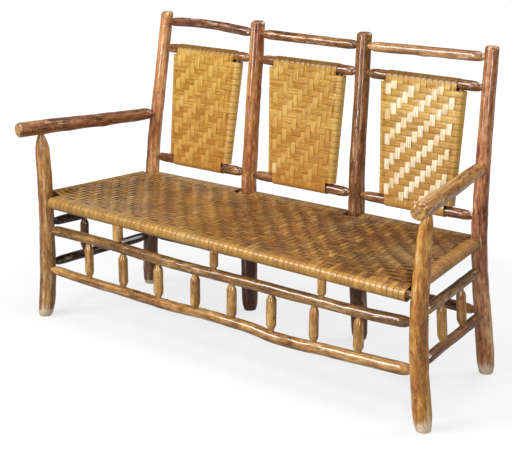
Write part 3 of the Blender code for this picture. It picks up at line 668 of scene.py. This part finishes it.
def rusty_iron():
    """Dark iron with brown rust in specks."""
    material, tree, shader = new_finish("nail_iron", {"Metallic": 0.6})
    rust = speckle(tree, whole_place(tree), (1, 1, 1), 700, 3)
    colour = toned(tree, rust, ((0.35, paint(44, 36, 32)), (0.65, paint(104, 66, 44))))
    surfaced(tree, shader, colour, ranged(tree, rust, 0.3, 0.7, 0.40, 0.75), rust, 0.4, 0.0003)
    return material


ACROSS = [f"{kind}_{bay}" for kind in BACK_RAILS for bay in BAYS]
ACROSS += [node for node in STRETCHERS if not node.startswith("side")]
ACROSS += ["seat_rail_front", *(f"seat_rail_rear_{bay}" for bay in BAYS)]
ENDWAYS = [node for node in STRETCHERS if node.startswith("side")]
ENDWAYS += ["seat_rail_left", "seat_rail_right"]
nail_points = []
nail_ways = []
for node in ACROSS + ENDWAYS:
    line = cuts_across(node)[2]
    for tip, inward in ((line[0], line[3] - line[0]), (line[-1], line[-4] - line[-1])):
        girths = [girth_at(post, tip[2]) for post in POSTS]
        centre, radius = min(girths, key=lambda girth: np.linalg.norm(girth[0] - tip))
        way = BACK if node in ACROSS else ASIDE * np.sign(centre[0])
        aside = NAIL_OFFSET * radius * unit(inward)
        aside = aside - way * (aside @ way)
        out = way * np.sqrt(radius ** 2 - aside @ aside)
        nail_points.append(centre + aside + NAIL_DEPTH * out)
        nail_ways.append((aside + out) / radius)
nail_guide = bpy.data.meshes.new("nail_guide")
nail_guide.from_pydata([tuple(point) for point in nail_points], [], [])
set_mark(nail_guide, "facing", np.array(nail_ways), "FLOAT_VECTOR")
nail_inputs = {"Head radius": NAIL_RADIUS, "Head height": NAIL_HEIGHT, "Iron": rusty_iron()}
nails = stood("tenon_nails", nodes_made("tenon_nails", nail_guide, nail_tree(), nail_inputs))
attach(nails, "root")


# Woven back panels. Strips of inner bark, soaked and woven while limp, two over and two under. Upright
# strips roll over the top and bottom rails and level strips roll round the rods, so that each panel has
# a front and a back sheet of one weave. Varnish has turned the bark golden.

STRIP_THICKNESS = 0.0011
STRIP_LIFT = 0.0011
STRIP_SPREAD = 0.04
CLEAR = 0.0003
ROLL_POINTS = 9
POINTS_PER_CROSSING = 5
BOTH_WAYS = ((1, slice(None)), (-1, slice(None, None, -1)))
LEG_MARKS = ("points", "facing", "step", "woven", "spread", "wear_and_painted_light")


def marked(tree, geometry, name, value):
    """A tree's geometry with a mark on its points."""
    stored = {"Geometry": geometry, "Name": name, "Value": value}
    return outlet(tree, "GeometryNodeStoreNamedAttribute", stored, data_type="FLOAT", domain="POINT")


def squared_off(tree, value, power, size):
    """One side of a circle's points, pushed out toward the sides of a square of a size."""
    amount = reckoned(tree, "POWER", reckoned(tree, "ABSOLUTE", value), power)
    return times(tree, times(tree, amount, reckoned(tree, "SIGN", value)), times(tree, size, 0.5))


def weave_tree():
    """Nodes that lift the strips over and under each other and give them width and thickness."""
    sizes = ("Strip width", "Strip thickness", "Lift", "Width spread")
    inputs = {"Paths": "Geometry", **dict.fromkeys(sizes, "Float"), "Seed": "Int", "Bark": "Material"}
    tree, start = new_tree("bark_weave", inputs, "Strips")
    wave = reckoned(tree, "COSINE", times(tree, carried(tree, "step"), pi / 2))
    steep = outlet(tree, "ShaderNodeClamp", {0: times(tree, wave, 2.0), 1: -1.0, 2: 1.0})
    crown = reckoned(tree, "ADD", times(tree, steep, 0.45), times(tree, wave, 0.65))
    height = times(tree, times(tree, crown, start["Lift"]), carried(tree, "woven"))
    facing = carried(tree, "facing", "FLOAT_VECTOR")
    lift = outlet(tree, "ShaderNodeVectorMath", {0: facing, "Scale": height}, operation="SCALE")
    curve = outlet(tree, "GeometryNodeMeshToCurve", {0: start["Paths"]})
    curve = outlet(tree, "GeometryNodeSetPosition", {"Geometry": curve, "Offset": lift})
    curve = outlet(tree, "GeometryNodeSetCurveNormal", {"Curve": curve, "Normal": facing}, mode="FREE")
    chance = {"ID": carried(tree, "strip", "INT"), "Seed": start["Seed"]}
    tone = wire(tree, "FunctionNodeRandomValue", chance, data_type="FLOAT").outputs[1]
    wide = times(tree, reckoned(tree, "SUBTRACT", tone, 0.5), start["Width spread"])
    wide = times(tree, reckoned(tree, "ADD", wide, 1.0), carried(tree, "spread"))
    curve = marked(tree, curve, "tone", tone)

    ring = outlet(tree, "GeometryNodeCurvePrimitiveCircle", {"Resolution": 10, "Radius": 1.0})
    place = outlet(tree, "GeometryNodeInputPosition", {})
    parts = wire(tree, "ShaderNodeSeparateXYZ", {0: place}).outputs
    ring = marked(tree, ring, "across", parts[1])
    thick = squared_off(tree, parts[0], 0.5, start["Strip thickness"])
    broad = squared_off(tree, parts[1], 0.28, start["Strip width"])
    outline = outlet(tree, "ShaderNodeCombineXYZ", {0: thick, 1: broad})
    ring = outlet(tree, "GeometryNodeSetPosition", {"Geometry": ring, "Position": outline})
    strips = outlet(tree, "GeometryNodeCurveToMesh", {"Curve": curve, "Profile Curve": ring, "Scale": wide})
    strips = outlet(tree, "GeometryNodeSetShadeSmooth", {"Geometry": strips})
    return close_tree(tree, strips, start["Bark"])


bark_weave = weave_tree()


def roll_leg(centre, start, over, radius, spread, wear_and_painted_light):
    """Half a turn round a rail, from the start direction through the over direction."""
    angles = np.linspace(0, pi, ROLL_POINTS + 2)[1:-1, None]
    facing = start * np.cos(angles) + over * np.sin(angles)
    flat = np.zeros(ROLL_POINTS)
    marks = (centre + facing * radius, facing, flat, flat, flat + spread, flat + wear_and_painted_light)
    return dict(zip(LEG_MARKS, marks))


def doubled(number, middle, face, radius, marks, rolls, slack=0.0):
    """One closed strip: along a sheet's face, round a rail, back along the other side, and round a rail.

    Middle is the line between its two layers, and marks are its step, woven, spread and wear along that
    line, where the wear mark also carries painted glints, sheen and shade. Each roll has the way that it
    bulges, and its wear mark. The second layer hangs lower by its slack.
    """
    slack = np.broadcast_to(slack, len(middle))
    legs = []
    for (way, order), (out, worn) in zip(BOTH_WAYS, rolls):
        facing = np.repeat(face[None] * way, len(middle), axis=0)
        layer = middle + facing * radius
        leg = dict(zip(LEG_MARKS, (layer, facing, *marks)))
        leg = {key: value[order] for key, value in leg.items()}
        roll = roll_leg(middle[order][-1], face * way, out, radius, leg["spread"][-1], worn)
        if way < 0:
            leg["points"][:, 2] -= slack[order]
            roll["points"][:, 2] -= slack[order][-1] * np.clip(-roll["facing"][:, 2], 0, 1)
        legs += [leg, roll]
    loop = {key: np.concatenate([leg[key] for leg in legs]) for key in LEG_MARKS}
    gaps = np.linalg.norm(np.diff(loop["points"], axis=0), axis=1)
    loop["along"] = np.concatenate([[0], np.cumsum(gaps)])
    loop["strip"] = np.full(len(loop["points"]), number)
    return loop


def float_light_and_shade(rng, bands, step, woven, pale, crossing_shade, scatter, uneven=0.45):
    """Painted light along a strip: glints and sheen on the floats of some diagonals more than others,
    and painted shade where it dives.

    The uneven share of the glints and sheen is left to chance on each float.
    """
    crown = np.cos(step * pi / 2) * woven
    number = np.floor((step + 2) / 4).astype(int)
    luck = rng.uniform(0, 1, len(bands))[number % len(bands)]
    chance = (1.1 - uneven) * bands[number % len(bands)] + uneven * luck
    own = rng.uniform(-scatter, scatter, len(bands))[number % len(bands)]
    top = np.clip(2.5 * crown + 0.3, 0, 1)
    # Painted shade in the crossings, where a strip dives under another.
    dive = np.clip(1 - 3.0 * np.abs(crown), 0, 1) * woven
    return (pale * chance + own) * top - crossing_shade * dive


def weave(name, loops, width, seed, finish):
    """Sweeps bark of a width along the strips' loops and gives back the finished mesh."""
    edges = []
    first = 0
    for loop in loops:
        count = len(loop["points"])
        edges += [(first + k, first + (k + 1) % count) for k in range(count)]
        first += count
    joined = {key: np.concatenate([loop[key] for loop in loops]) for key in loops[0]}
    paths = bpy.data.meshes.new(name + "_paths")
    paths.from_pydata(joined.pop("points").tolist(), edges, [])
    kinds = {"facing": "FLOAT_VECTOR", "strip": "INT"}
    for key, values in joined.items():
        set_mark(paths, key, values, kinds.get(key, "FLOAT"))
    sizes = {"Strip width": width, "Strip thickness": STRIP_THICKNESS}
    sizes |= {"Lift": STRIP_LIFT, "Width spread": STRIP_SPREAD}
    return nodes_made(name, paths, bark_weave, {**sizes, "Seed": seed, "Bark": finish})


# The red is fading; the grey patches and the olive of the seat's left end are painted sheen.
FADED_RED = paint(146, 80, 34)
SHEEN_GREY = paint(166, 142, 108)
SHEEN_OLIVE = paint(158, 128, 72)
FOOT_RED = paint(174, 104, 38)
# Painted glint: the white of a float's highlight.
GLINT_WHITE = paint(252, 242, 216)


def dimmed(colour, share):
    """A colour with a share of its light."""
    return (*(share * part for part in colour[:3]), 1)


def bark(name, dark, main, light, coat, edges, fade_and_sheen=0.0, upright=False):
    """Varnished inner bark: fibres along each strip, each strip of its own tone, its wear, painted
    glints and sheen, and painted shade where the strips dive.

    Its strips' edges are darker by a share: painted shade of their rounded sides. Where it is faded,
    broad patches have gone reddish, and painted sheen turns other patches grey and the settee's left
    end olive. An upright sheet is more even from strip to strip, has dark ticks between its strips,
    and is redder toward its foot.
    """
    sockets = {"Specular IOR Level": 0.3, "Coat Weight": coat, "Coat Roughness": 0.2}
    material, tree, shader = new_finish(name, sockets)
    dark, main, light = (paint(*tone) for tone in (dark, main, light))
    across = mark_of(tree, "across")
    along = mark_of(tree, "along")
    strip = times(tree, mark_of(tree, "strip"), 5.37)
    place = outlet(tree, "ShaderNodeCombineXYZ", {0: across, 1: along, 2: strip})
    fibres = speckle(tree, place, (7, 12, 1), 1.0, 5, 0.7)
    dashes = speckle(tree, place, (2.2, 42, 1), 1.0, 3, 0.6)
    lengths = speckle(tree, place, (0.5, 26, 1), 1.0, 3)
    whole = whole_place(tree)
    patches = speckle(tree, whole, (1, 1, 1), 9.0, 3)
    tone = mark_of(tree, "tone")
    fine, uneven, broad = (0.42, 0.06, 0.22) if upright else (0.34, 0.13, 0.23)
    value = mixed(tree, (fibres, fine), (dashes, 0.22), (lengths, uneven), (tone, 0.08), (patches, broad))
    colour = toned(tree, value, ((0.40, dark), (0.49, main), (0.58, light)))
    hues = speckle(tree, whole, (1, 1.6, 1), 5.0, 2)
    colour = laid(tree, colour, FADED_RED, hues, 0.54, 0.66, fade_and_sheen)
    colour = laid(tree, colour, SHEEN_GREY, hues, 0.46, 0.34, 0.6 * fade_and_sheen)
    sides = wire(tree, "ShaderNodeSeparateXYZ", {0: whole}).outputs
    if upright:
        lower = mixed(tree, (sides["Z"], -1.0), (patches, 0.5))
        colour = laid(tree, colour, FOOT_RED, lower, -0.50, -0.24, 0.65)
    else:
        # Painted sheen: the seat's left end turns olive.
        colour = laid(tree, colour, SHEEN_OLIVE, sides["X"], 0.3, -0.6, 0.8 * fade_and_sheen)
    # The wear mark: real wear and painted glints and sheen make the bark paler, painted shade darker.
    wear_and_painted_light = mark_of(tree, "wear_and_painted_light")
    colour = laid(tree, colour, light, wear_and_painted_light, 0.0, 0.5, 0.8)
    # Painted glints: floats with most of the mark turn white, broken by the fibres.
    glint_core = times(tree, ranged(tree, wear_and_painted_light, 0.40, 0.70), ranged(tree, fibres, 0.40, 0.54, 0.10, 1.0))
    colour = blended(tree, glint_core, colour, GLINT_WHITE)
    # Where the mark falls below naught the bark darkens: painted shade in the crossings, and the darker top
    # rolls and right end.
    colour = laid(tree, colour, dimmed(dark, 0.45), wear_and_painted_light, 0.0, -1.0)
    cracks = speckle(tree, place, (1.5, 6, 1), 1.0, 2, 0.6)
    off_middle = reckoned(tree, "ABSOLUTE", reckoned(tree, "SUBTRACT", cracks, 0.5))
    colour = laid(tree, colour, dimmed(dark, 0.7), off_middle, 0.004, 0.022, 0.0, least=0.5)
    # Painted shade: the strips' rounded edges darken by the share given in edges.
    edge = reckoned(tree, "ABSOLUTE", across)
    woven = ranged(tree, mark_of(tree, "woven"), 0.2, 0.9, 0.2, 1.0)
    shaded = times(tree, ranged(tree, edge, 0.25, 0.95, 0.0, edges), woven)
    colour = blended(tree, shaded, colour, dark)
    if upright:
        gap = times(tree, ranged(tree, edge, 0.66, 0.94), ranged(tree, dashes, 0.47, 0.58, 0.05, 1.0))
    else:
        gap = times(tree, ranged(tree, edge, 0.88, 0.98), ranged(tree, tone, 0.3, 0.7, 0.15, 0.9))
    colour = blended(tree, gap, colour, dimmed(dark, 0.35))
    surfaced(tree, shader, colour, ranged(tree, fibres, 0.3, 0.7, 0.42, 0.26), fibres, 0.6, 0.0008)
    return material


PANEL_WARPS = 12
PANEL_WEFTS = 18
PANEL_INSET = 0.007
PANEL_CORNER = 0.030
PANEL_STRIP = 0.0192
# Painted glints: pale and white floats, most on the right panel's upright strips and its foot roll, stand in
# for reflections of the lamps.
PANEL_GLINT = {"left": 0.34, "middle": 0.33, "right": 0.95}
PANEL_CROSSING_SHADE = {"left": 0.12, "middle": 0.15, "right": 0.24}
PANEL_UNEVEN = {"left": 0.20, "middle": 0.20, "right": 0.45}
LEAST_BAND = {"left": 0.55, "middle": 0.55, "right": 0.7}
GLINT_AT_LEFT = {"left": 1.35, "middle": 1.35, "right": 1.0}
FALL_TO_RIGHT = {"left": 0.9, "middle": 0.9, "right": 0.0}
WEFT_GLINT = {"left": 0.02, "middle": 0.0, "right": 0.19}
PANEL_SCATTER = 0.05
# The strips are darker where they roll over the top rails.
TOP_ROLL_DARKENING = -0.80
FOOT_ROLL_GLINT = 0.3
# Painted highlight on the strips rolled round the rods.
ROD_ROLL_HIGHLIGHT = 0.40
PANEL_WEFT_NUMBER = 100
panel_gold = bark("panel_bark", (146, 92, 28), (182, 134, 48), (216, 176, 94), 0.3, 0.15, upright=True)


def line_of(node):
    """Both ends of a pole's centre line, and its thickest radius."""
    centres, radii = cuts_across(node)[2:]
    return centres[0], centres[-1], radii.max()


def meeting(rod, rail):
    """The point of a rail's centre line nearest to a rod's end."""
    start, end, _ = rail
    way = unit(end - start)
    return start + way * ((rod - start) @ way)


def woven_share(crossing, count):
    """1 where other strips cross, falling to 0 past the first and the last of them."""
    return ease(crossing, -1.1, -0.4) * ease(count - 1 - crossing, -1.1, -0.4)


def weave_panel(bay, seed):
    """All strips of one back panel, laid between the centre lines of its rails and rods."""
    rng = np.random.default_rng(seed)
    bands = rng.uniform(LEAST_BAND[bay], 1, 16)
    crossing_shade, uneven = PANEL_CROSSING_SHADE[bay], PANEL_UNEVEN[bay]
    low, high = line_of("panel_bottom_rail_" + bay), line_of("panel_top_rail_" + bay)
    rods = [line_of(f"panel_{bay}_rod_{side}") for side in ("left", "right")]
    feet = [meeting(rod[0], low) for rod in rods]
    heads = [meeting(rod[1], high) for rod in rods]
    radius = low[2] + CLEAR + STRIP_THICKNESS / 2 + STRIP_LIFT
    across = unit(feet[1] - feet[0])
    rise = heads[0] + heads[1] - feet[0] - feet[1]
    front = unit(np.cross(across, rise))
    height = np.linalg.norm(rise) / 2
    pitch = (height - 2 * PANEL_CORNER) / (PANEL_WEFTS - 1)
    inset = across * PANEL_INSET
    ends = [(pair[0] + inset, pair[1] - inset) for pair in (feet, heads)]
    pitches = [np.linalg.norm(end[1] - end[0]) / PANEL_WARPS for end in ends]
    loops = []
    shares = np.linspace(0, 1, PANEL_WEFTS * POINTS_PER_CROSSING)[:, None]
    crossing = (shares[:, 0] * height - PANEL_CORNER) / pitch
    woven = woven_share(crossing, PANEL_WEFTS)
    spread = (pitches[0] + (pitches[1] - pitches[0]) * shares[:, 0]) / PANEL_STRIP
    for k in range(PANEL_WARPS):
        share = (k + 0.5) / PANEL_WARPS
        foot, head = (end[0] + (end[1] - end[0]) * share for end in ends)
        up = unit(head - foot)
        step = crossing - k - 0.5
        # Painted glints: how pale this strip's floats turn, by panel and by place across it.
        pale = PANEL_GLINT[bay] * (GLINT_AT_LEFT[bay] - FALL_TO_RIGHT[bay] * share)
        wear_and_painted_light = float_light_and_shade(rng, bands, step, woven, pale, crossing_shade, PANEL_SCATTER, uneven)
        middle = foot + (head - foot) * shares
        rolls = ((up, TOP_ROLL_DARKENING), (-up, FOOT_ROLL_GLINT * PANEL_GLINT[bay]))
        loops.append(doubled(k, middle, front, radius, (step, woven, spread, wear_and_painted_light), rolls))
    shares = np.linspace(0, 1, (PANEL_WARPS + 1) * POINTS_PER_CROSSING)[:, None]
    spread = np.full(len(shares), pitch / PANEL_STRIP)
    rolls = ((across, ROD_ROLL_HIGHLIGHT), (-across, ROD_ROLL_HIGHLIGHT))
    for k in range(PANEL_WEFTS):
        at = (PANEL_CORNER + k * pitch) / height
        left, right = (foot + (head - foot) * at for foot, head in zip(feet, heads))
        width = np.linalg.norm(right - left)
        crossing = (shares[:, 0] * width - PANEL_INSET) / (width - 2 * PANEL_INSET) * PANEL_WARPS - 0.5
        woven = woven_share(crossing, PANEL_WARPS)
        step = k - crossing - 0.5 + 2
        wear_and_painted_light = float_light_and_shade(rng, bands, step, woven, WEFT_GLINT[bay], crossing_shade, PANEL_SCATTER, uneven)
        middle = left + (right - left) * shares
        marks = (step, woven, spread, wear_and_painted_light)
        loops.append(doubled(PANEL_WEFT_NUMBER + k, middle, front, radius, marks, rolls))
    return weave("woven_panel_" + bay, loops, PANEL_STRIP, seed, panel_gold)


for seed, bay in enumerate(BAYS, 3):
    dress(f"panel_{bay}_strips", weave_panel(bay, seed), "woven_panel_" + bay)


# Woven seat. One long sheet of the same bark over the four lines of seat rails, two over and two under
# from front to back, and doubled underneath. Strips that meet an inner post are folded under in front
# of it. The front edge is strips side by side round the rail, worn golden; the sitting part is browner.

SEAT_WARPS = 74
SEAT_WEFTS = 21
SEAT_STRIP = 0.0183
SEAT_POINTS = 4
SIDE_POINTS = 5
FRONT_LEFT_GAP = 0.026
FRONT_RIGHT_GAP = 0.041
REAR_GAP = 0.032
FIRST_WEFT = 0.040
LAST_WEFT = 0.052
SEAT_SAG = 0.006
WANDER = 0.004
SIDE_RISE = 0.8
SIDE_RISE_REACH = 0.20
FOLD_REACH = 0.031
FOLD_ROOM = 0.008
POST_MARGIN = 0.039
FRONT_HANG = 0.005
HANG_REACH = 0.25
UP = np.array((0.0, 0.0, 1.0))
FRONT_ROLL_WEAR = (0.18, 0.34)
SIDE_ROLL_WEAR = 0.18
# Painted sheen: pale floats on the seat, more on the warps than the wefts.
WARP_SHEEN = 0.27
WEFT_SHEEN = 0.14
SEAT_CROSSING_SHADE = 0.20
SEAT_SCATTER = 0.10
# The sitting part darkens toward the settee's right end.
RIGHT_DARKENING = 0.56
SEAT_WEFT_NUMBER = 200
warp_tan = bark("seat_warp_bark", (94, 54, 17), (152, 102, 42), (206, 158, 78), 0.45, 0.60, 0.5)
weft_brown = bark("seat_weft_bark", (92, 50, 15), (148, 95, 35), (200, 146, 68), 0.40, 0.60, 0.5)
seat_rng = np.random.default_rng(5)
seat_bands = seat_rng.uniform(0.2, 1, 24)


def on_rail(rail, x):
    """Depth and height of a rail's centre line at a place across the settee."""
    return np.interp(x, rail[:, 0], rail[:, 1]), np.interp(x, rail[:, 0], rail[:, 2])


front_rail = cuts_across("seat_rail_front")[2]
left_rail = cuts_across("seat_rail_left")[2]
right_rail = cuts_across("seat_rail_right")[2]
rear_rail = np.concatenate([cuts_across("seat_rail_rear_" + bay)[2] for bay in BAYS])
rear_height = rear_rail[:, 2].mean()
front_left = girth_at("front_post_left", front_rail[0, 2])[0][0] + FRONT_LEFT_GAP
front_right = girth_at("front_post_right", front_rail[-1, 2])[0][0] - FRONT_RIGHT_GAP
rear_left = girth_at("rear_post_left", rear_height)[0][0] + REAR_GAP
rear_right = girth_at("rear_post_right", rear_height)[0][0] - REAR_GAP
front_width = front_right - front_left
rear_width = rear_right - rear_left
inner_posts = [girth_at("rear_post_inner_" + side, rear_height)[0][0] for side in ("left", "right")]
seat_roll = cuts_across("seat_rail_front")[3].max() + CLEAR + STRIP_THICKNESS / 2 + STRIP_LIFT
seat_depth = rear_rail[:, 1].mean() - front_rail[:, 1].mean()
weft_pitch = (seat_depth - FIRST_WEFT - LAST_WEFT) / (SEAT_WEFTS - 1)


def seat_place(share, back):
    """Middle of the seat's doubled sheet, at a share across from the left and a share back."""
    near_x = front_left + front_width * share
    far_x = rear_left + rear_width * share
    near_y, near_z = on_rail(front_rail, near_x)
    far_y, far_z = on_rail(rear_rail, far_x)
    x = near_x + (far_x - near_x) * back
    y = near_y + (far_y - near_y) * back
    z = near_z + (far_z - near_z) * back
    loose = np.sin(pi * share) * np.sin(pi * back)
    x = x + WANDER * loose * (np.sin(13 * share + 5 * back) + np.sin(31 * share - 9 * back + 2))
    y = y + WANDER * loose * (np.sin(17 * share - 4 * back + 1) + np.sin(37 * share + 8 * back))
    hollow = 0.75 - 0.25 * np.cos(6 * pi * share)
    z = z - SEAT_SAG * 4 * back * (1 - back) * hollow
    within = ease(back, 0.0, 0.30) * ease(1 - back, 0.0, 0.15)
    for rail, edge in ((left_rail, 0.0), (right_rail, 1.0)):
        edge_near = on_rail(front_rail, front_left + front_width * edge)[1]
        edge_far = on_rail(rear_rail, rear_left + rear_width * edge)[1]
        rise = np.interp(y, rail[:, 1], rail[:, 2]) - edge_near - (edge_far - edge_near) * back
        nearness = 1 - ease(np.abs(share - edge) * front_width, 0.0, SIDE_RISE_REACH)
        z = z + SIDE_RISE * rise * within * nearness
    return np.stack(np.broadcast_arrays(x, y, z), axis=-1)


def hang(back):
    """How far the seat's lower layer hangs loose behind the front rail, at a share back."""
    return FRONT_HANG * (1 - ease(back, 0.0, HANG_REACH))


def seat_warp(number):
    """One strip of the seat that runs from front to back."""
    share = (number + 0.5) / SEAT_WARPS
    far_x = rear_left + rear_width * share
    off = min((far_x - x for x in inner_posts), key=abs)
    folded = abs(off) < FOLD_REACH
    end = 1 - (POST_MARGIN + seat_roll - FOLD_ROOM) / seat_depth if folded else 1.0
    back = np.linspace(0, end, SEAT_WEFTS * SEAT_POINTS)
    middle = seat_place(share, back)
    if not folded:
        middle[:, 0] += np.sign(off) * max(POST_MARGIN - abs(off), 0) * ease(back, 0.75, 0.95)
    crossing = (back * seat_depth - FIRST_WEFT) / weft_pitch
    woven = woven_share(crossing, SEAT_WEFTS)
    spread = (front_width + (rear_width - front_width) * back) / SEAT_WARPS / SEAT_STRIP
    step = crossing + number - 0.5
    wear_and_painted_light = float_light_and_shade(seat_rng, seat_bands, step, woven, WARP_SHEEN, SEAT_CROSSING_SHADE, SEAT_SCATTER)
    front_wear = FRONT_ROLL_WEAR[0] + (FRONT_ROLL_WEAR[1] - FRONT_ROLL_WEAR[0]) * share
    wear_and_painted_light = wear_and_painted_light - RIGHT_DARKENING * share + front_wear * (1 - woven) * (back < 0.5)
    rolls = ((BACK, 0), (-BACK, front_wear))
    return doubled(number, middle, UP, seat_roll, (step, woven, spread, wear_and_painted_light), rolls, hang(back))


def seat_weft(number):
    """One strip of the seat that runs along the settee, from side rail to side rail."""
    back = (FIRST_WEFT + number * weft_pitch) / seat_depth
    share = np.linspace(0, 1, SEAT_WARPS * SEAT_POINTS)
    inside = seat_place(share, np.full_like(share, back))
    ends = []
    for rail, edge in ((left_rail, inside[0]), (right_rail, inside[-1])):
        y = edge[1]
        ends.append(np.array((np.interp(y, rail[:, 1], rail[:, 0]), y, np.interp(y, rail[:, 1], rail[:, 2]))))
    run = np.linspace(0, 1, SIDE_POINTS, endpoint=False)[:, None]
    start = ends[0] + (inside[0] - ends[0]) * run
    finish = (ends[1] + (inside[-1] - ends[1]) * run)[::-1]
    middle = evened(np.concatenate([start, inside, finish]), 6)
    crossing = np.interp(middle[:, 0], inside[:, 0], share * SEAT_WARPS - 0.5)
    crossing[:SIDE_POINTS] = np.linspace(-2.0, -0.6, SIDE_POINTS)
    crossing[-SIDE_POINTS:] = SEAT_WARPS - 1 - np.linspace(-0.6, -2.0, SIDE_POINTS)
    woven = woven_share(crossing, SEAT_WARPS)
    spread = np.full(len(middle), weft_pitch / SEAT_STRIP)
    step = number + crossing - 0.5 + 2
    wear_and_painted_light = float_light_and_shade(seat_rng, seat_bands, step, woven, WEFT_SHEEN, SEAT_CROSSING_SHADE, SEAT_SCATTER)
    wear_and_painted_light = wear_and_painted_light - RIGHT_DARKENING * np.clip(crossing / SEAT_WARPS, 0, 1) * woven + SIDE_ROLL_WEAR * (1 - woven)
    ways = [unit(np.cross(rail[-1] - rail[0], UP)) for rail in (right_rail, left_rail)]
    rolls = ((ways[0], SIDE_ROLL_WEAR), (-ways[1], SIDE_ROLL_WEAR))
    marks = (step, woven, spread, wear_and_painted_light)
    return doubled(SEAT_WEFT_NUMBER + number, middle, UP, seat_roll, marks, rolls, hang(back) * woven)


for seed, (bay, numbers) in enumerate(zip(BAYS, np.array_split(np.arange(SEAT_WARPS), 3)), 7):
    name = f"seat_warp_{bay}"
    mesh = weave(name, [seat_warp(number) for number in numbers], SEAT_STRIP, seed, warp_tan)
    dress(name, mesh, "woven_seat")
for seed, (part, numbers) in enumerate(zip(("front", "rear"), np.array_split(np.arange(SEAT_WEFTS), 2)), 17):
    name = f"seat_weft_{part}"
    mesh = weave(name, [seat_weft(number) for number in numbers], SEAT_STRIP, seed, weft_brown)
    dress(name, mesh, "woven_seat")


# Stage. A pale floor of matt paper that keeps the settee's soft shadow, and a white surround. Six lamps
# light the settee from above, in front and behind, and the camera stands before its right end.

FLOOR_REACH = 40.0
FLOOR_GREY = (0.25, 0.25, 0.25, 1)
FLOOR_MIRRORED = 0.12
FLOOR_NEAR = 0.71
WHITE = (1, 1, 1, 1)
floor_mesh = bpy.data.meshes.new("floor")
square = ((-1, -1), (1, -1), (1, 1), (-1, 1))
floor_mesh.from_pydata([(FLOOR_REACH * x, FLOOR_REACH * y, 0) for x, y in square], [], [(0, 1, 2, 3)])
floor = stood("floor", floor_mesh)
matt = {"Base Color": FLOOR_GREY, "Roughness": 0.9, "Specular IOR Level": 0.0}
floor_finish, tree, paper = new_finish("floor_paper", matt)
rays = wire(tree, "ShaderNodeLightPath", {}).outputs
seen = times(tree, rays["Is Glossy Ray"], FLOOR_MIRRORED)
for kind in ("Is Camera Ray", "Is Transmission Ray"):
    seen = reckoned(tree, "MAXIMUM", seen, rays[kind])
far = wire(tree, "ShaderNodeVectorMath", {0: whole_place(tree)}, operation="LENGTH").outputs["Value"]
level = ranged(tree, far, 1.2, 2.6, FLOOR_NEAR, 1.0)
glow = outlet(tree, "ShaderNodeEmission", {"Color": WHITE, "Strength": times(tree, seen, level)})
both = outlet(tree, "ShaderNodeAddShader", {0: paper.outputs[0], 1: glow})
tree.links.new(both, tree.nodes["Material Output"].inputs["Surface"])
floor_mesh.materials.append(floor_finish)

WHITE_WALL = (-0.70, 0.66, 0.27)
SURROUND_LIGHT = 0.08
SURROUND_MIRRORED = 0.035
world = bpy.data.worlds.new("surround")
bpy.context.scene.world = world
world.use_nodes = True
tree = world.node_tree
surround = tree.nodes["Background"]
surround.inputs["Color"].default_value = WHITE
rays = wire(tree, "ShaderNodeLightPath", {}).outputs
direction = wire(tree, "ShaderNodeTexCoord", {}).outputs["Generated"]
to_wall = wire(tree, "ShaderNodeVectorMath", {0: direction, 1: WHITE_WALL}, operation="DOT_PRODUCT")
mirrored = ranged(tree, to_wall.outputs["Value"], 0.990, 0.9990, SURROUND_MIRRORED, 1.0)
mirrored = times(tree, rays["Is Glossy Ray"], mirrored)
strength = SURROUND_LIGHT
for part in (rays["Is Camera Ray"], rays["Is Transmission Ray"], mirrored):
    strength = reckoned(tree, "MAXIMUM", strength, part)
tree.links.new(strength, surround.inputs["Strength"])


def softbox(name, place, target, width, height, power):
    """A lamp with a wide flat face, turned to a target."""
    lamp = bpy.data.lights.new(name, "AREA")
    lamp.shape = "RECTANGLE"
    lamp.size = width
    lamp.size_y = height
    lamp.energy = power
    box = stood(name, lamp)
    box.location = place
    box.rotation_euler = (Vector(target) - Vector(place)).to_track_quat("-Z", "Y").to_euler()


softbox("overhead", (0.2, -0.25, 3.5), (0, 0, 0.4), 1.4, 0.7, 36)
softbox("key", (-1.6, -2.4, 2.75), (0, 0, 0.5), 1.4, 1.1, 82)
softbox("low_strip", (-0.45, -2.3, 1.30), (0.1, 0.2, 0.7), 0.20, 1.1, 24)
softbox("from_behind", (2.4, 2.4, 2.2), (0.0, 0.2, 0.6), 1.2, 1.2, 40)
softbox("behind_high", (0.5, 2.6, 3.1), (0.0, 0.3, 0.6), 1.6, 0.9, 42)
softbox("front_right", (2.1, -2.1, 1.5), (0.8, 0.0, 0.4), 0.5, 1.4, 33)

EYE = (2.5703, -3.3131, 1.6878)
TURN = radians(37.911)
TILT = radians(16.834)
ROLL = radians(-0.235)
camera = bpy.data.cameras.new("camera")
camera.sensor_width = 36
camera.lens = 93.56
eye = stood("camera", camera)
eye.matrix_world = (
    Matrix.Translation(EYE)
    @ Matrix.Rotation(TURN, 4, "Z")
    @ Matrix.Rotation(pi / 2 - TILT, 4, "X")
    @ Matrix.Rotation(ROLL, 4, "Z")
)
bpy.context.scene.camera = eye
bpy.context.scene.view_settings.view_transform = "Standard"
